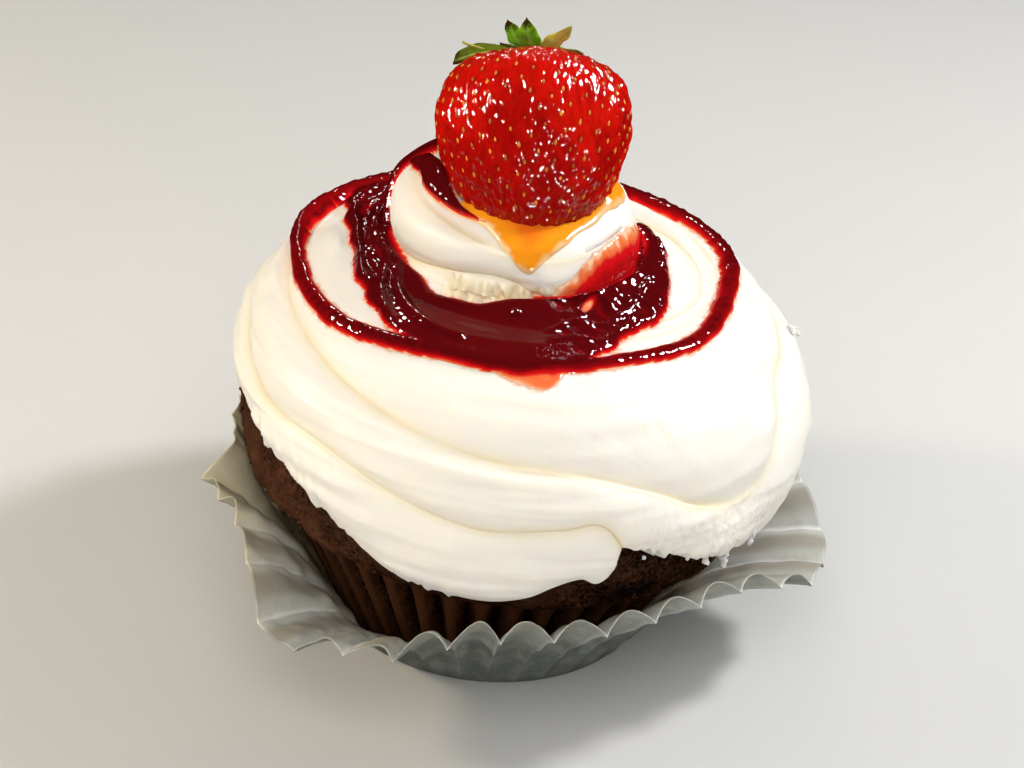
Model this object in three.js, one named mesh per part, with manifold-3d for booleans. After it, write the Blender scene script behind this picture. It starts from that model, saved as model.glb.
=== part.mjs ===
// A chocolate cupcake in an opened paper case, piped with a spiral of white icing,
// drizzled with berry sauce and topped with a whole strawberry.
// Millimetres, +Z up, origin at the centre of the case's flat base. -Y is the front.
// Azimuths are degrees counter-clockwise from +X, seen from above.
import * as THREE from 'three';
import * as BufferGeometryUtils from 'three/addons/utils/BufferGeometryUtils.js';
import Module from 'manifold-3d';

const wasm = await Module();
wasm.setup();

// ---------------------------------------------------------------- driving dimensions
const FIT_GAP = 0.4;            // clearance between pieces that touch

const BASE_RADIUS = 25;         // a standard case, 50 mm across its base
const PAPER = 0.5;              // thickness of the case
const WALL_SLANT = 32.5;        // length of the case's wall from base to rim
const PLEATS = 44;              // pleats of the case
const FIRST_FOLD = 265;         // azimuth of one of the pleats' outer folds

const FLUTES = 44;              // flutes that the closed case's pleats left on the cake
const FLUTE_DEPTH = 2.2;
const CAKE_BASE_RADIUS = 24;
const CAKE_SIDE_TOP = 34.5;     // radius of the fluted side under the crown's lip
const CROWN_RADIUS = 39.1;      // widest part of the risen crown
const LIP_TILT = 2.6;           // the crown rose more at the left than at the right

const PIPING_START = 292;       // azimuth where the icing rope begins; it runs clockwise
const PIPING_TURNS = 5;
const ROPE_RISE = 1.6;          // how far a turn of the rope swells out of the mound

const RING_HALF_WIDTH = 1.25;
const TRAIL_HALF_WIDTH = 1.4;
const TRAIL_RISE = 1.4;
const BLOB_HALF_WIDTH = 1.6;    // of the sauce that gathered at the berry's left
const BLOB_RISE = 1.2;
const POOL_RISE = 1;
const SAUCE_DEPTH = 0.7;        // how far the sauce reaches into the icing it is fused to
const SMALLEST = 0.06;          // detail left out where the sauce meets the icing

const BERRY_CENTRE = new THREE.Vector3(0.45, -0.4, 75.5);
const BERRY_LENGTH = 27.6;
const BERRY_RADIUS = 13.75;
const BERRY_LEAN = 54;          // elevation of the line from the berry's tip to its leaves
const BERRY_ROLL = 6;           // its leaves are tipped this far to the left
const BERRY_SOCKET = 1.035;     // the hollow that the berry pressed in the icing, against its size
const BERRY_PRESS = 1.9;        // how far its weight pushed the front of the dollop down
const PRESS_AZIMUTH = 272;
const DIMPLE_DEPTH = 0.35;      // round the seeds

const LEAF = 0.5;               // thickness of a leaf
const HUB_RADIUS = 4;           // where two leaves part

const DEG = Math.PI / 180;
const TURN = 360;

// ---------------------------------------------------------------- curves through named sizes

/** Slopes of a smooth curve through points with uneven steps. */
function slopes(knots, values) {
  const last = knots.length - 1;
  return knots.map((knot, i) => {
    if (i === 0) return (values[1] - values[0]) / (knots[1] - knots[0]);
    if (i === last) return (values[last] - values[last - 1]) / (knots[last] - knots[last - 1]);
    const before = knot - knots[i - 1];
    const after = knots[i + 1] - knot;
    const rise = before ** 2 * values[i + 1] + (after ** 2 - before ** 2) * values[i]
      - after ** 2 * values[i - 1];
    return rise / (before * after * (before + after));
  });
}

/** A smooth curve through [place, value] points, held level beyond its ends. */
function curve(points) {
  const knots = points.map((point) => point[0]);
  const values = points.map((point) => point[1]);
  const slope = slopes(knots, values);
  const last = knots.length - 1;
  return (place) => {
    const x = Math.min(Math.max(place, knots[0]), knots[last]);
    let i = 0;
    while (i < last - 1 && knots[i + 1] <= x) i += 1;
    const step = knots[i + 1] - knots[i];
    const u = (x - knots[i]) / step;
    return (2 * u ** 3 - 3 * u ** 2 + 1) * values[i] + (u ** 3 - 2 * u ** 2 + u) * step * slope[i]
      + (3 * u ** 2 - 2 * u ** 3) * values[i + 1] + (u ** 3 - u ** 2) * step * slope[i + 1];
  };
}

/** The same round a full circle, through [azimuth, value] points. */
function loop(points) {
  const wrapped = [-TURN, 0, TURN].flatMap((shift) => points.map(([a, v]) => [a + shift, v]));
  const round = curve(wrapped);
  return (azimuth) => round(((azimuth % TURN) + TURN) % TURN);
}

const mix = (a, b, share) => a + (b - a) * share;
const clamp01 = (x) => Math.min(Math.max(x, 0), 1);
const ease = (x) => clamp01(x) ** 2 * (3 - 2 * clamp01(x));
const steps = (count, make) => Array.from({ length: count }, (_, i) => make(i));

/** A point from an azimuth, a radius and a height. */
function polar(azimuth, radius, z) {
  return new THREE.Vector3(radius * Math.cos(azimuth * DEG), radius * Math.sin(azimuth * DEG), z);
}

// ---------------------------------------------------------------- closed bodies

/** A geometry from points and triangles; triangles that have shrunk to a line are left out. */
function geometry(points, triangles) {
  const whole = triangles.filter(([a, b, c]) => a !== b && b !== c && c !== a);
  const shape = new THREE.BufferGeometry().setFromPoints(points);
  shape.setIndex(whole.flat());
  return shape;
}

/** Triangles between rings of points; `checkered` lets every other point stand by itself. */
function strips(first, columns, rings, checkered = false) {
  const id = (ring, i) => first + ring * columns + (i % columns);
  return steps(rings - 1, (ring) => steps(columns, (i) => {
    const [a, b, c, d] = [id(ring, i), id(ring, i + 1), id(ring + 1, i + 1), id(ring + 1, i)];
    return checkered && (ring + i) % 2 === 0 ? [[a, b, d], [b, c, d]] : [[a, b, c], [a, c, d]];
  })).flat(2);
}

/** A closed body of rings, each counter-clockwise from above, between a bottom and a top point. */
function ringBody(bottom, rings, top, checkered = false) {
  const columns = rings[0].length;
  const last = 1 + (rings.length - 1) * columns;
  const ends = steps(columns, (i) => [
    [0, 1 + (i + 1) % columns, 1 + i],
    [last + i, last + (i + 1) % columns, last + columns],
  ]).flat();
  const sides = strips(1, columns, rings.length, checkered);
  return geometry([bottom, ...rings.flat(), top], [...ends, ...sides]);
}

/** A thin sheet of rings round a centre: both faces have the same triangles, joined at the rim. */
function sheetBody(under, over) {
  const columns = under.rings[0].length;
  const face = 1 + under.rings.length * columns;
  const centre = steps(columns, (i) => [0, 1 + (i + 1) % columns, 1 + i]);
  const lower = [...centre, ...strips(1, columns, under.rings.length)];
  const upper = lower.map(([a, b, c]) => [face + a, face + c, face + b]);
  const low = face - columns;
  const high = 2 * face - columns;
  const rim = steps(columns, (i) => [
    [low + i, low + (i + 1) % columns, high + (i + 1) % columns],
    [low + i, high + (i + 1) % columns, high + i],
  ]).flat();
  const points = [under.centre, ...under.rings.flat(), over.centre, ...over.rings.flat()];
  return geometry(points, [...lower, ...upper, ...rim]);
}

/** A manifold solid from a closed geometry. */
function solid(shape) {
  const merged = BufferGeometryUtils.mergeVertices(shape, 1e-4);
  return new wasm.Manifold(new wasm.Mesh({
    numProp: 3,
    vertProperties: new Float32Array(merged.attributes.position.array),
    triVerts: new Uint32Array(merged.index.array),
  }));
}

/** A geometry from a manifold solid. */
function surface(body) {
  const mesh = body.getMesh();
  const shape = new THREE.BufferGeometry();
  shape.setAttribute('position', new THREE.BufferAttribute(mesh.vertProperties, 3));
  shape.setIndex(new THREE.BufferAttribute(mesh.triVerts, 1));
  return shape;
}

// ---------------------------------------------------------------- paper case

// the case was peeled open: at the back it still stands against the cake, at the left it leans
// out to a corner, and at the right it lies open; the mean angle of the wall from upright
const WALL_LEAN = loop([
  [0, 58], [8, 51], [20, 44], [50, 34], [90, 29], [150, 26.8], [186, 26.7], [193, 26.7],
  [196, 28.2], [200, 37], [204, 36], [212, 35], [220, 39], [229, 48], [234, 54.5], [245, 51],
  [254, 47], [262, 42], [270, 38], [288, 37], [307, 36], [318, 37], [328, 41], [337, 49],
  [345, 55], [352, 58],
]);
// how much more the wall leans at its rim than at its foot; less, where the cake holds it in
const WALL_CURL = loop([
  [0, 60], [30, 30], [90, -8], [150, -16], [184, -16], [192, -14], [201, 16], [210, 30],
  [234, 50], [250, 36], [270, 22], [305, 22], [330, 34], [350, 56],
]);
// the pleats are deep where they were left alone and smoothed out where the case was pulled
const PLEAT_DEPTH = loop([
  [0, 1.6], [30, 2.2], [90, 1.6], [150, 0.7], [188, 0.7], [194, 0.8], [200, 1.4], [225, 0.9],
  [238, 1.6], [250, 2.4], [300, 2.5], [335, 2],
]);
const PLEAT_SPREAD = loop([[0, 9], [90, 7], [180, 7.4], [215, 8], [250, 8], [285, 9.2], [318, 10]]);
const FOOT_PLEAT = 0.15;        // depth of a pleat at the wall's foot, against its depth at the rim

/** Azimuths of the pleats' outer folds, each a spread away from the last, closing after a turn. */
function pleatFolds() {
  const folds = [FIRST_FOLD];
  for (let i = 0; i < PLEATS; i += 1) folds.push(folds[i] + PLEAT_SPREAD(folds[i]));
  const whole = folds[PLEATS] - FIRST_FOLD;
  return folds.map((fold) => FIRST_FOLD + (fold - FIRST_FOLD) * TURN / whole);
}

/** A point of the wall: share of the slant, fold from 0 (inner) to 1 (outer), distance off it. */
function wallPoint(azimuth, share, folded, offset) {
  const curl = WALL_CURL(azimuth) * DEG;
  const foot = WALL_LEAN(azimuth) * DEG - curl / 2;
  // an arc of even curvature, whose chord leans by half of the turning so far
  const bow = curl * share / 2;
  const chord = WALL_SLANT * share * (1 - bow ** 2 / 6);
  const here = foot + 2 * bow;
  const proud = PLEAT_DEPTH(azimuth) * mix(FOOT_PLEAT, 1, share ** 1.2) * folded + offset;
  const radius = BASE_RADIUS + chord * Math.sin(foot + bow) + proud * Math.cos(here);
  return polar(azimuth, radius, PAPER / 2 + chord * Math.cos(foot + bow) - proud * Math.sin(here));
}

function paperCase() {
  const folds = pleatFolds();
  // each pleat is a round arc, bowed inwards between two sharp outer folds
  const across = [0, 0.22, 0.5, 0.78];
  const stations = folds.slice(0, PLEATS).flatMap((fold, i) => across.map((part) => (
    { azimuth: mix(fold, folds[i + 1], part), folded: 1 - Math.sin(Math.PI * part) })));
  const face = (offset, z) => ({
    centre: new THREE.Vector3(0, 0, z),
    rings: [
      stations.map(({ azimuth }) => polar(azimuth, BASE_RADIUS - 1, z)),
      ...[0.03, 0.35, 0.7, 1].map((share) => (
        stations.map(({ azimuth, folded }) => wallPoint(azimuth, share, folded, offset)))),
    ],
  });
  return sheetBody(face(PAPER / 2, 0), face(-PAPER / 2, PAPER));
}

// ---------------------------------------------------------------- cake

// radius and height of the crown, from its lip to the middle of its top
const CROWN = [
  [36, 22.6], [38.3, 25.2], [CROWN_RADIUS, 30], [39, 35], [37.4, 38.4], [33.5, 41], [26, 43],
  [14, 44.4], [0, 44.8],
];
const crownShare = CROWN.map((_, i) => i / (CROWN.length - 1));
const crownRadius = curve(CROWN.map(([radius], i) => [crownShare[i], radius]));
const crownHeight = curve(CROWN.map(([, z], i) => [crownShare[i], z]));
const shareAtHeight = curve(CROWN.map(([, z], i) => [z, crownShare[i]]));
const crownTilt = (azimuth, share) => LIP_TILT * Math.cos((azimuth + 5) * DEG) * (1 - share);
const CROWN_ROWS = [0.12, 0.3, 0.45, 0.62, 0.8];

/** A point of the crown: share of the way from its lip to its top, and a distance off it. */
function crownPoint(azimuth, share, offset = 0) {
  const step = 0.01;
  const runOut = crownRadius(share + step) - crownRadius(share - step);
  const runUp = crownHeight(share + step) - crownHeight(share - step);
  const run = Math.hypot(runOut, runUp);
  const radius = Math.max(crownRadius(share) + offset * runUp / run, 0);
  const z = crownHeight(share) - crownTilt(azimuth, share);
  return polar(azimuth, radius, z - offset * runOut / run);
}

/** The share of the crown that stands at a height. */
function crownShareAt(azimuth, z) {
  return shareAtHeight(z + crownTilt(azimuth, shareAtHeight(z)));
}

function cake() {
  const columns = FLUTES * 2;
  const floor = PAPER + FIT_GAP;
  const ring = (make) => steps(columns, (i) => make(i * TURN / columns, i % 2));
  const side = [[0, 0.5], [0.5, 1], [0.9, 0.8]].map(([share, depth]) => ring((azimuth, groove) => {
    const top = crownPoint(azimuth, 0).z - 0.4;
    const radius = mix(CAKE_BASE_RADIUS, CAKE_SIDE_TOP, share) - groove * depth * FLUTE_DEPTH;
    return polar(azimuth, radius, mix(floor, top, share));
  }));
  const crown = [0, ...CROWN_ROWS].map((share) => ring((azimuth) => crownPoint(azimuth, share)));
  return ringBody(polar(0, 0, floor), [...side, ...crown], polar(0, 0, crownHeight(1)));
}

// ---------------------------------------------------------------- icing

// the mound that the rope is piped over: share of the way up, radius and height
const MOUND = [
  [-0.1, 39.8, 22.5], [0, 40.9, 26.5], [0.12, 41.5, 32.5], [0.25, 41.6, 41], [0.4, 38.2, 49],
  [0.48, 34.6, 52.8], [0.55, 31, 55.3], [0.62, 26, 57], [0.68, 20.5, 58], [0.72, 17.2, 59.6],
  [0.78, 16.4, 62.5], [0.86, 15.9, 67.5], [0.94, 10.8, 71.5], [1, 0, 72],
];
const moundRadius = curve(MOUND.map(([share, radius]) => [share, radius]));
const moundHeight = curve(MOUND.map(([share, , z]) => [share, z]));
// the middle of each level leans to the right below and to the left in the dollop
const moundShift = curve([
  [0, 2], [0.3, 1.9], [0.4, 1.3], [0.48, 0.7], [0.6, 0], [0.7, -0.8], [0.85, -1], [1, -0.6],
]);

// the crease above each turn of the rope, as a share of the mound, by degrees piped so far
const crease = curve([
  [0, 0.18], [3, 0.225], [12, 0.23], [26, 0.218], [38, 0.238], [48, 0.265], [60, 0.295],
  [76, 0.3], [90, 0.33], [102, 0.365], [180, 0.41], [250, 0.42], [300, 0.41], [312, 0.388],
  [320, 0.297], [326, 0.235], [331, 0.217], [344, 0.242], [355, 0.305], [365, 0.345],
  [385, 0.378], [402, 0.41], [414, 0.435], [440, 0.485], [460, 0.508], [540, 0.55], [620, 0.57],
  [680, 0.61], [720, 0.65], [780, 0.68], [900, 0.69], [1080, 0.72],
  [1092, 0.77], [1104, 0.795], [1130, 0.785], [1157, 0.76], [1180, 0.75], [1222, 0.765],
  [1282, 0.8], [1372, 0.855], [1400, 0.86], [1440, 0.84], [1500, 0.88], [1600, 0.9], [1700, 0.88],
  [1800, 0.84],
]);
// the free lower edge of the first turn, which ends round and blunt where the piping began
const freeEdge = curve([
  [0, 0.18], [1.2, 0.12], [3, 0.085], [7, 0.1], [12, 0.075], [16, 0.04], [21, 0.015], [33, 0.015],
  [43, 0.04], [50, 0.09], [61, 0.155], [72, 0.195], [85, 0.235], [100, 0.24], [140, 0.2],
  [200, 0.12], [250, 0.05], [285, 0], [305, 0.01], [325, 0.05], [340, 0.085], [350, 0.14], [360, 0.18],
]);
const ropeFoot = (piped) => (piped < TURN ? freeEdge(piped) : crease(piped - TURN));

function moundPoint(azimuth, share) {
  const point = polar(azimuth, moundRadius(share), moundHeight(share));
  point.x += moundShift(share);
  return point;
}

/** The mound's outward normal, from its directions of travel. */
function moundNormal(azimuth, share) {
  const place = Math.min(share, 0.99);
  const along = moundPoint(azimuth + 1, place).sub(moundPoint(azimuth - 1, place));
  const up = moundPoint(azimuth, place + 0.004).sub(moundPoint(azimuth, place - 0.004));
  return along.cross(up).normalize();
}

/** How far the berry's weight pressed the icing in front of it down. */
function berryPress(azimuth, share) {
  const front = ease((Math.cos((azimuth - PRESS_AZIMUTH) * DEG) - 0.3) / 0.5);
  return BERRY_PRESS * front * ease((share - 0.85) / 0.07);
}

/** A point at a distance off the mound, pressed down where the berry leans on it. */
function offMound(azimuth, share, lift) {
  const off = lift - berryPress(azimuth, share);
  return moundPoint(azimuth, share).addScaledVector(moundNormal(azimuth, share), off);
}

/** A point of the rope: degrees piped so far, and share of the way from its foot to its crease. */
function ropePoint(piped, across) {
  const azimuth = PIPING_START - piped;
  const foot = ropeFoot(piped);
  const head = crease(piped);
  const share = mix(foot, head, across);
  const swell = ROPE_RISE * ease((head - foot) / 0.1) * (1 - Math.abs(2 * across - 1) ** 2.3) ** 0.75;
  return offMound(azimuth, share, swell);
}

/** The mound with the rope wound over it: the last column meets the first one turn higher. */
function pipedMound() {
  const columns = 72;
  const across = [0, 0.16, 0.5, 0.84];
  const under = CROWN_ROWS.slice().reverse();
  const points = [];
  const add = (point) => points.push(point) - 1;
  const bottom = add(polar(0, 0, crownHeight(1) + FIT_GAP));
  const ids = steps(columns, (i) => {
    const piped = i * TURN / columns;
    const azimuth = PIPING_START - piped;
    const meets = crownShareAt(azimuth, ropePoint(piped, 0).z - 0.5);
    const bed = [...under.map((share) => Math.max(share, meets + 0.02)), meets];
    return [
      ...bed.map((share) => add(crownPoint(azimuth, share, FIT_GAP))),
      ...steps(PIPING_TURNS, (turn) => across.map((part) => (
        add(ropePoint(piped + turn * TURN, part))))).flat(),
      add(ropePoint(piped + (PIPING_TURNS - 1) * TURN, 1)),
      add(offMound(azimuth, 0.95, 0)),
    ];
  });
  const top = add(moundPoint(0, 1));
  const firstRow = under.length + 1;
  const lastRow = firstRow + across.length * PIPING_TURNS;
  const inRope = (row) => row >= firstRow && row <= lastRow;
  // the first turn starts from a point, so its rows meet there
  const start = ids[0].map((id, row) => (
    inRope(row) ? ids[0][Math.max(row, firstRow + across.length)] : id));
  const seam = start.map((id, row) => (
    inRope(row) ? start[Math.min(row + across.length, lastRow)] : id));
  ids[0] = start;
  ids.push(seam);
  const triangles = steps(columns, (i) => {
    const [here, next] = [ids[i], ids[i + 1]];
    const end = here.length - 1;
    return [
      [bottom, here[0], next[0]],
      ...steps(end, (row) => [
        [here[row], here[row + 1], next[row + 1]],
        [here[row], next[row + 1], next[row]],
      ]).flat(),
      [here[end], top, next[end]],
    ];
  }).flat();
  return geometry(points, triangles);
}

// ---------------------------------------------------------------- berry sauce, fused to the icing

/** A point of the piped icing at an azimuth and a share of the mound. */
function icingPoint(azimuth, share) {
  let piped = (((PIPING_START - azimuth) % TURN) + TURN) % TURN;
  while (piped < TURN * (PIPING_TURNS - 1) && crease(piped) < share) piped += TURN;
  return ropePoint(piped, clamp01((share - ropeFoot(piped)) / (crease(piped) - ropeFoot(piped))));
}

/** A rope of sauce along places on the icing; it closes on itself or tapers at both ends. */
function sauceRope(places, halfWidth, rise, closed) {
  const centres = places.map(([azimuth, share]) => icingPoint(azimuth, share));
  const last = places.length - 1;
  const sides = 6;
  const rings = centres.map((centre, i) => {
    const before = centres[closed ? (i + last) % (last + 1) : Math.max(i - 1, 0)];
    const after = centres[closed ? (i + 1) % (last + 1) : Math.min(i + 1, last)];
    const up = moundNormal(...places[i]);
    const side = after.clone().sub(before).cross(up).normalize();
    return steps(sides, (k) => {
      const turn = -k * TURN / sides * DEG;
      const high = Math.sin(turn) > 0 ? rise(places[i][0]) : SAUCE_DEPTH;
      return centre.clone().addScaledVector(side, Math.cos(turn) * halfWidth)
        .addScaledVector(up, Math.sin(turn) * high);
    });
  });
  if (!closed) return ringBody(centres[0], rings.slice(1, last), centres[last]);
  return geometry([...rings, rings[0]].flat(), strips(0, sides, rings.length + 1));
}

// the ring's share of the mound round the top
const ringShare = loop([
  [0, 0.565], [25, 0.53], [60, 0.53], [90, 0.53], [150, 0.53], [176, 0.54], [200, 0.549],
  [215, 0.546], [230, 0.554], [242, 0.568], [290, 0.578], [304, 0.578], [322, 0.567],
]);
// its height over the icing: it piled up where it came round the back
const ringRise = loop([
  [0, 0.9], [20, 1.2], [60, 1.7], [110, 1.6], [148, 2.4], [172, 2.6], [188, 1.2], [200, 1],
  [240, 0.95], [290, 0.9], [335, 0.9],
]);
// a trail that climbs behind the dollop's left side to the berry
const trailShare = curve([[104, 0.93], [130, 0.92], [150, 0.89], [165, 0.84], [180, 0.75]]);
// the blob at the berry's left, where the dollop's top turns in
const BLOB_PLACES = [[170, 0.91], [185, 0.925], [202, 0.925], [218, 0.92], [232, 0.918]];
// the pool between the ring and the dollop: its outer and inner edges, from the left arm round
// the front to the right
const poolOuter = curve([
  [140, 0.54], [152, 0.575], [167, 0.62], [178, 0.639], [200, 0.643], [215, 0.624], [228, 0.605],
  [236, 0.59], [244, 0.578], [292, 0.587], [299, 0.609], [310, 0.627], [330, 0.637], [342, 0.652],
  [360, 0.662], [392, 0.655],
]);
const poolInner = curve([
  [140, 0.66], [170, 0.735], [212, 0.75], [222, 0.728], [232, 0.706], [242, 0.7], [256, 0.701],
  [264, 0.708], [272, 0.722], [287, 0.75], [300, 0.765], [330, 0.78], [365, 0.77], [392, 0.72],
]);
const POOL_ENDS = [140, 392];

/** The pool as one closed slab that follows the icing, round-edged and tapered at its two ends. */
function saucePool() {
  const columns = 44;
  const across = [0, 0.12, 0.4, 0.7, 0.9, 1];
  const column = (i) => {
    const azimuth = mix(...POOL_ENDS, i / columns);
    const thin = Math.sqrt(Math.sin(Math.PI * clamp01(i / columns)) + 1e-9);
    const taper = Math.min(1, thin * 1.4);
    const middle = (poolOuter(azimuth) + poolInner(azimuth)) / 2;
    const half = (poolInner(azimuth) - poolOuter(azimuth)) / 2 * taper;
    const at = (part, lift) => {
      const share = middle + half * (2 * part - 1);
      return icingPoint(azimuth, share).addScaledVector(moundNormal(azimuth, share), lift);
    };
    const over = across.slice().reverse().map((part) => (
      at(part, POOL_RISE * taper * Math.sqrt(1 - Math.abs(2 * part - 1) ** 3) - 0.05)));
    const below = across.map((part) => at(part, -SAUCE_DEPTH - 0.05));
    return [...below, ...over];
  };
  const start = POOL_ENDS[0];
  const finish = POOL_ENDS[1];
  const end = (azimuth) => icingPoint(azimuth, (poolOuter(azimuth) + poolInner(azimuth)) / 2);
  return ringBody(end(start), steps(columns - 1, (i) => column(i + 1)), end(finish));
}

// ---------------------------------------------------------------- strawberry

// share of the berry's length from its tip, and radius against its widest
const berryProfile = curve([
  [0, 0], [0.02, 0.2], [0.08, 0.42], [0.2, 0.66], [0.35, 0.84], [0.5, 0.95], [0.65, 1], [0.8, 0.97],
  [0.9, 0.86], [0.96, 0.68], [1, 0.4],
]);
const BERRY_MIDDLE = 0.52;

/** From the berry's own frame, leaves up, to its place on the icing. */
function placed(local) {
  const turned = local.applyAxisAngle(new THREE.Vector3(1, 0, 0), (BERRY_LEAN - 90) * DEG);
  return turned.applyAxisAngle(new THREE.Vector3(0, 1, 0), -BERRY_ROLL * DEG).add(BERRY_CENTRE);
}

function berryPoint(round, share, size, inset) {
  const radius = Math.max(BERRY_RADIUS * berryProfile(share) * size - inset, 0);
  return placed(polar(round, radius, (share - BERRY_MIDDLE) * BERRY_LENGTH * size));
}

/** The berry, with every other point of its staggered rows pressed in round a seed. */
function strawberry(size, dimple) {
  const columns = 28;
  const shares = [0.02, 0.08, 0.18, 0.28, 0.38, 0.48, 0.58, 0.68, 0.78, 0.86, 0.92, 0.97, 1];
  const rings = shares.map((share, row) => steps(columns, (i) => {
    const pressed = (i + row) % 2 === 0 && row > 0 && row < 11;
    return berryPoint(i * TURN / columns, share, size, pressed ? dimple : 0);
  }));
  const hollow = placed(polar(0, 0, (0.96 - BERRY_MIDDLE) * BERRY_LENGTH * size));
  return ringBody(berryPoint(0, 0, size, 0), rings, hollow, true);
}

// ---------------------------------------------------------------- leaves

// each tip of the leaves: azimuth round the berry, reach, and how far it curls up
const SEPALS = [
  [24, 7.8, 0.4], [62, 8, 0.3], [104, 8, 0.3], [144, 8.2, 0.3], [188, 11.2, -2], [218, 6, 0.3],
  [238, 6.4, 3.3], [265, 6.4, 3.4], [307, 9.4, 1.8], [352, 7, -0.3],
];
const SAME_LEAF = 30;           // tips closer together than this are lobes of one leaf

function calyx() {
  const seat = (1 - BERRY_MIDDLE) * BERRY_LENGTH + FIT_GAP;
  // round the star: a tip, a shoulder, the notch to the next leaf, a shoulder
  const stations = SEPALS.flatMap(([round, reach, curl], i) => {
    const [nextRound, nextReach, nextCurl] = SEPALS[(i + 1) % SEPALS.length];
    const gap = nextRound - round + (nextRound < round ? TURN : 0);
    const notch = gap < SAME_LEAF ? 0.66 * Math.min(reach, nextReach) : HUB_RADIUS;
    return [
      [round, reach, curl], [round + gap * 0.34, reach * 0.76, curl * 0.45],
      [round + gap * 0.5, notch, 0], [round + gap * 0.66, nextReach * 0.76, nextCurl * 0.45],
    ];
  });
  const face = (offset) => ({
    centre: placed(polar(0, 0, seat + offset)),
    rings: [0.4, 0.7, 1].map((share) => stations.map(([round, reach, curl]) => (
      placed(polar(round, reach * share, seat + offset + curl * share ** 3))))),
  });
  return sheetBody(face(0), face(LEAF));
}

// ---------------------------------------------------------------- assembly

const FINISHES = {
  paper: { color: 0xd9dad8, roughness: 0.75, metalness: 0 },
  cake: { color: 0x3a1d12, roughness: 0.9, metalness: 0 },
  icing: { color: 0xf7f1e4, roughness: 0.5, metalness: 0 },
  strawberry: { color: 0xb8120f, roughness: 0.25, metalness: 0 },
  leaf: { color: 0x5d8a2a, roughness: 0.6, metalness: 0 },
};

function piece(name, shape, finish) {
  const mesh = new THREE.Mesh(shape, new THREE.MeshStandardMaterial(FINISHES[finish]));
  mesh.name = name;
  return mesh;
}

/** The piped icing with its sauce, hollowed where the berry sits in it. */
function icing() {
  const ringPlaces = steps(60, (i) => [i * TURN / 60, ringShare(i * TURN / 60)]);
  const trailPlaces = steps(11, (i) => [180 - 7.6 * i, trailShare(180 - 7.6 * i)]);
  const sauces = [
    sauceRope(ringPlaces, RING_HALF_WIDTH, ringRise, true),
    sauceRope(trailPlaces, TRAIL_HALF_WIDTH, () => TRAIL_RISE, false),
    sauceRope(BLOB_PLACES, BLOB_HALF_WIDTH, () => BLOB_RISE, false),
    saucePool(),
  ];
  const whole = sauces.reduce((body, sauce) => body.add(solid(sauce)), solid(pipedMound()));
  // the sauce fills the creases that it lies over
  const filled = whole.decompose().reduce((a, b) => (a.volume() > b.volume() ? a : b));
  return surface(filled.subtract(solid(strawberry(BERRY_SOCKET, 0))).simplify(SMALLEST));
}

const group = new THREE.Group();
group.add(piece('paper_case', paperCase(), 'paper'));
group.add(piece('cake', cake(), 'cake'));
group.add(piece('icing', icing(), 'icing'));
group.add(piece('strawberry', strawberry(1, DIMPLE_DEPTH), 'strawberry'));
group.add(piece('calyx', calyx(), 'leaf'));

export default group;
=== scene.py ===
import math
from functools import partial

import bpy
import numpy as np
from bpy.props import FloatProperty, FloatVectorProperty, IntProperty, PointerProperty
from mathutils import Matrix, Vector


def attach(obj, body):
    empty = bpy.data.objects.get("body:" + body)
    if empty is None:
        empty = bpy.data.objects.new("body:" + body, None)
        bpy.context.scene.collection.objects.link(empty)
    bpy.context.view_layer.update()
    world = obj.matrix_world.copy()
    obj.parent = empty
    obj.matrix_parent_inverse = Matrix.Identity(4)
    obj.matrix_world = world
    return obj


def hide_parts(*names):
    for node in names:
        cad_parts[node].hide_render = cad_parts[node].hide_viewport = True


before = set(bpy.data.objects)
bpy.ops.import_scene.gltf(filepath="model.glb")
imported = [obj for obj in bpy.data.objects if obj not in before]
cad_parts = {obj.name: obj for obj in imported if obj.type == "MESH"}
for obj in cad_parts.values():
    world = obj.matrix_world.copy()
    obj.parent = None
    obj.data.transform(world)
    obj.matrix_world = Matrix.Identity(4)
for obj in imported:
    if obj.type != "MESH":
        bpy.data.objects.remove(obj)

bl_info = {
    "name": "Cupcake with a strawberry",
    "version": (1, 0, 0),
    "blender": (4, 5, 0),
    "location": "View3D > Sidebar > Cupcake",
    "description": "Builds a piped chocolate cupcake with berry sauce in its opened paper case",
    "category": "Add Mesh",
}

# Shapes are worked out in millimetres and turned to metres when they become a mesh.
# Azimuths are degrees counter-clockwise from +X, seen from above; -Y is the front. A share is
# how far a place lies up a profile, from 0 to 1.
MM = 0.001
DEG = math.pi / 180
TURN = 360
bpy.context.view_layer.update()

# paper case
BASE_RADIUS = 25
CASE_CENTRE_LINE = 0.25         # height of the middle of the wall's sheet at its foot
WALL_SLANT = 32.5               # length of the wall up its slant
PLEATS = 44
PLEAT_POINTS = 16               # points across a pleat
FIRST_FOLD = 265
OPENED = 225                    # azimuth where the wall was pulled open and creased most
FOOT_PLEAT = 0.15               # depth of a pleat at the wall's foot, against its depth at the rim

# cake
FLUTES = 44
FLUTE_DEPTH = 2.2
CAKE_FLOOR = 0.9                # height of the cake's bottom
CAKE_BASE_RADIUS = 24
CAKE_SIDE_TOP = 34.5            # radius of the side at its top
CAKE_TOP = 44.8
LIP_TILT = 2.6                  # how far the crown's lip rises at the left and falls at the right
BARE = 307                      # azimuth where the icing leaves the crown's lip bare, and where the crown is coloured darker

# icing
PIPING_START = 292              # azimuth where the rope starts; it winds clockwise from there
PIPING_TURNS = 5
ROPE_RISE = 1.6                 # how far the rope's middle stands out of the mound
ICING_FOOT = 41                 # radius of the icing's lower edge
ROPE_MIDDLE = 33                # radius of the rope, over all its turns
GAP_RADIUS = 17                 # radius of the torn gap under the front of the dollop

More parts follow.
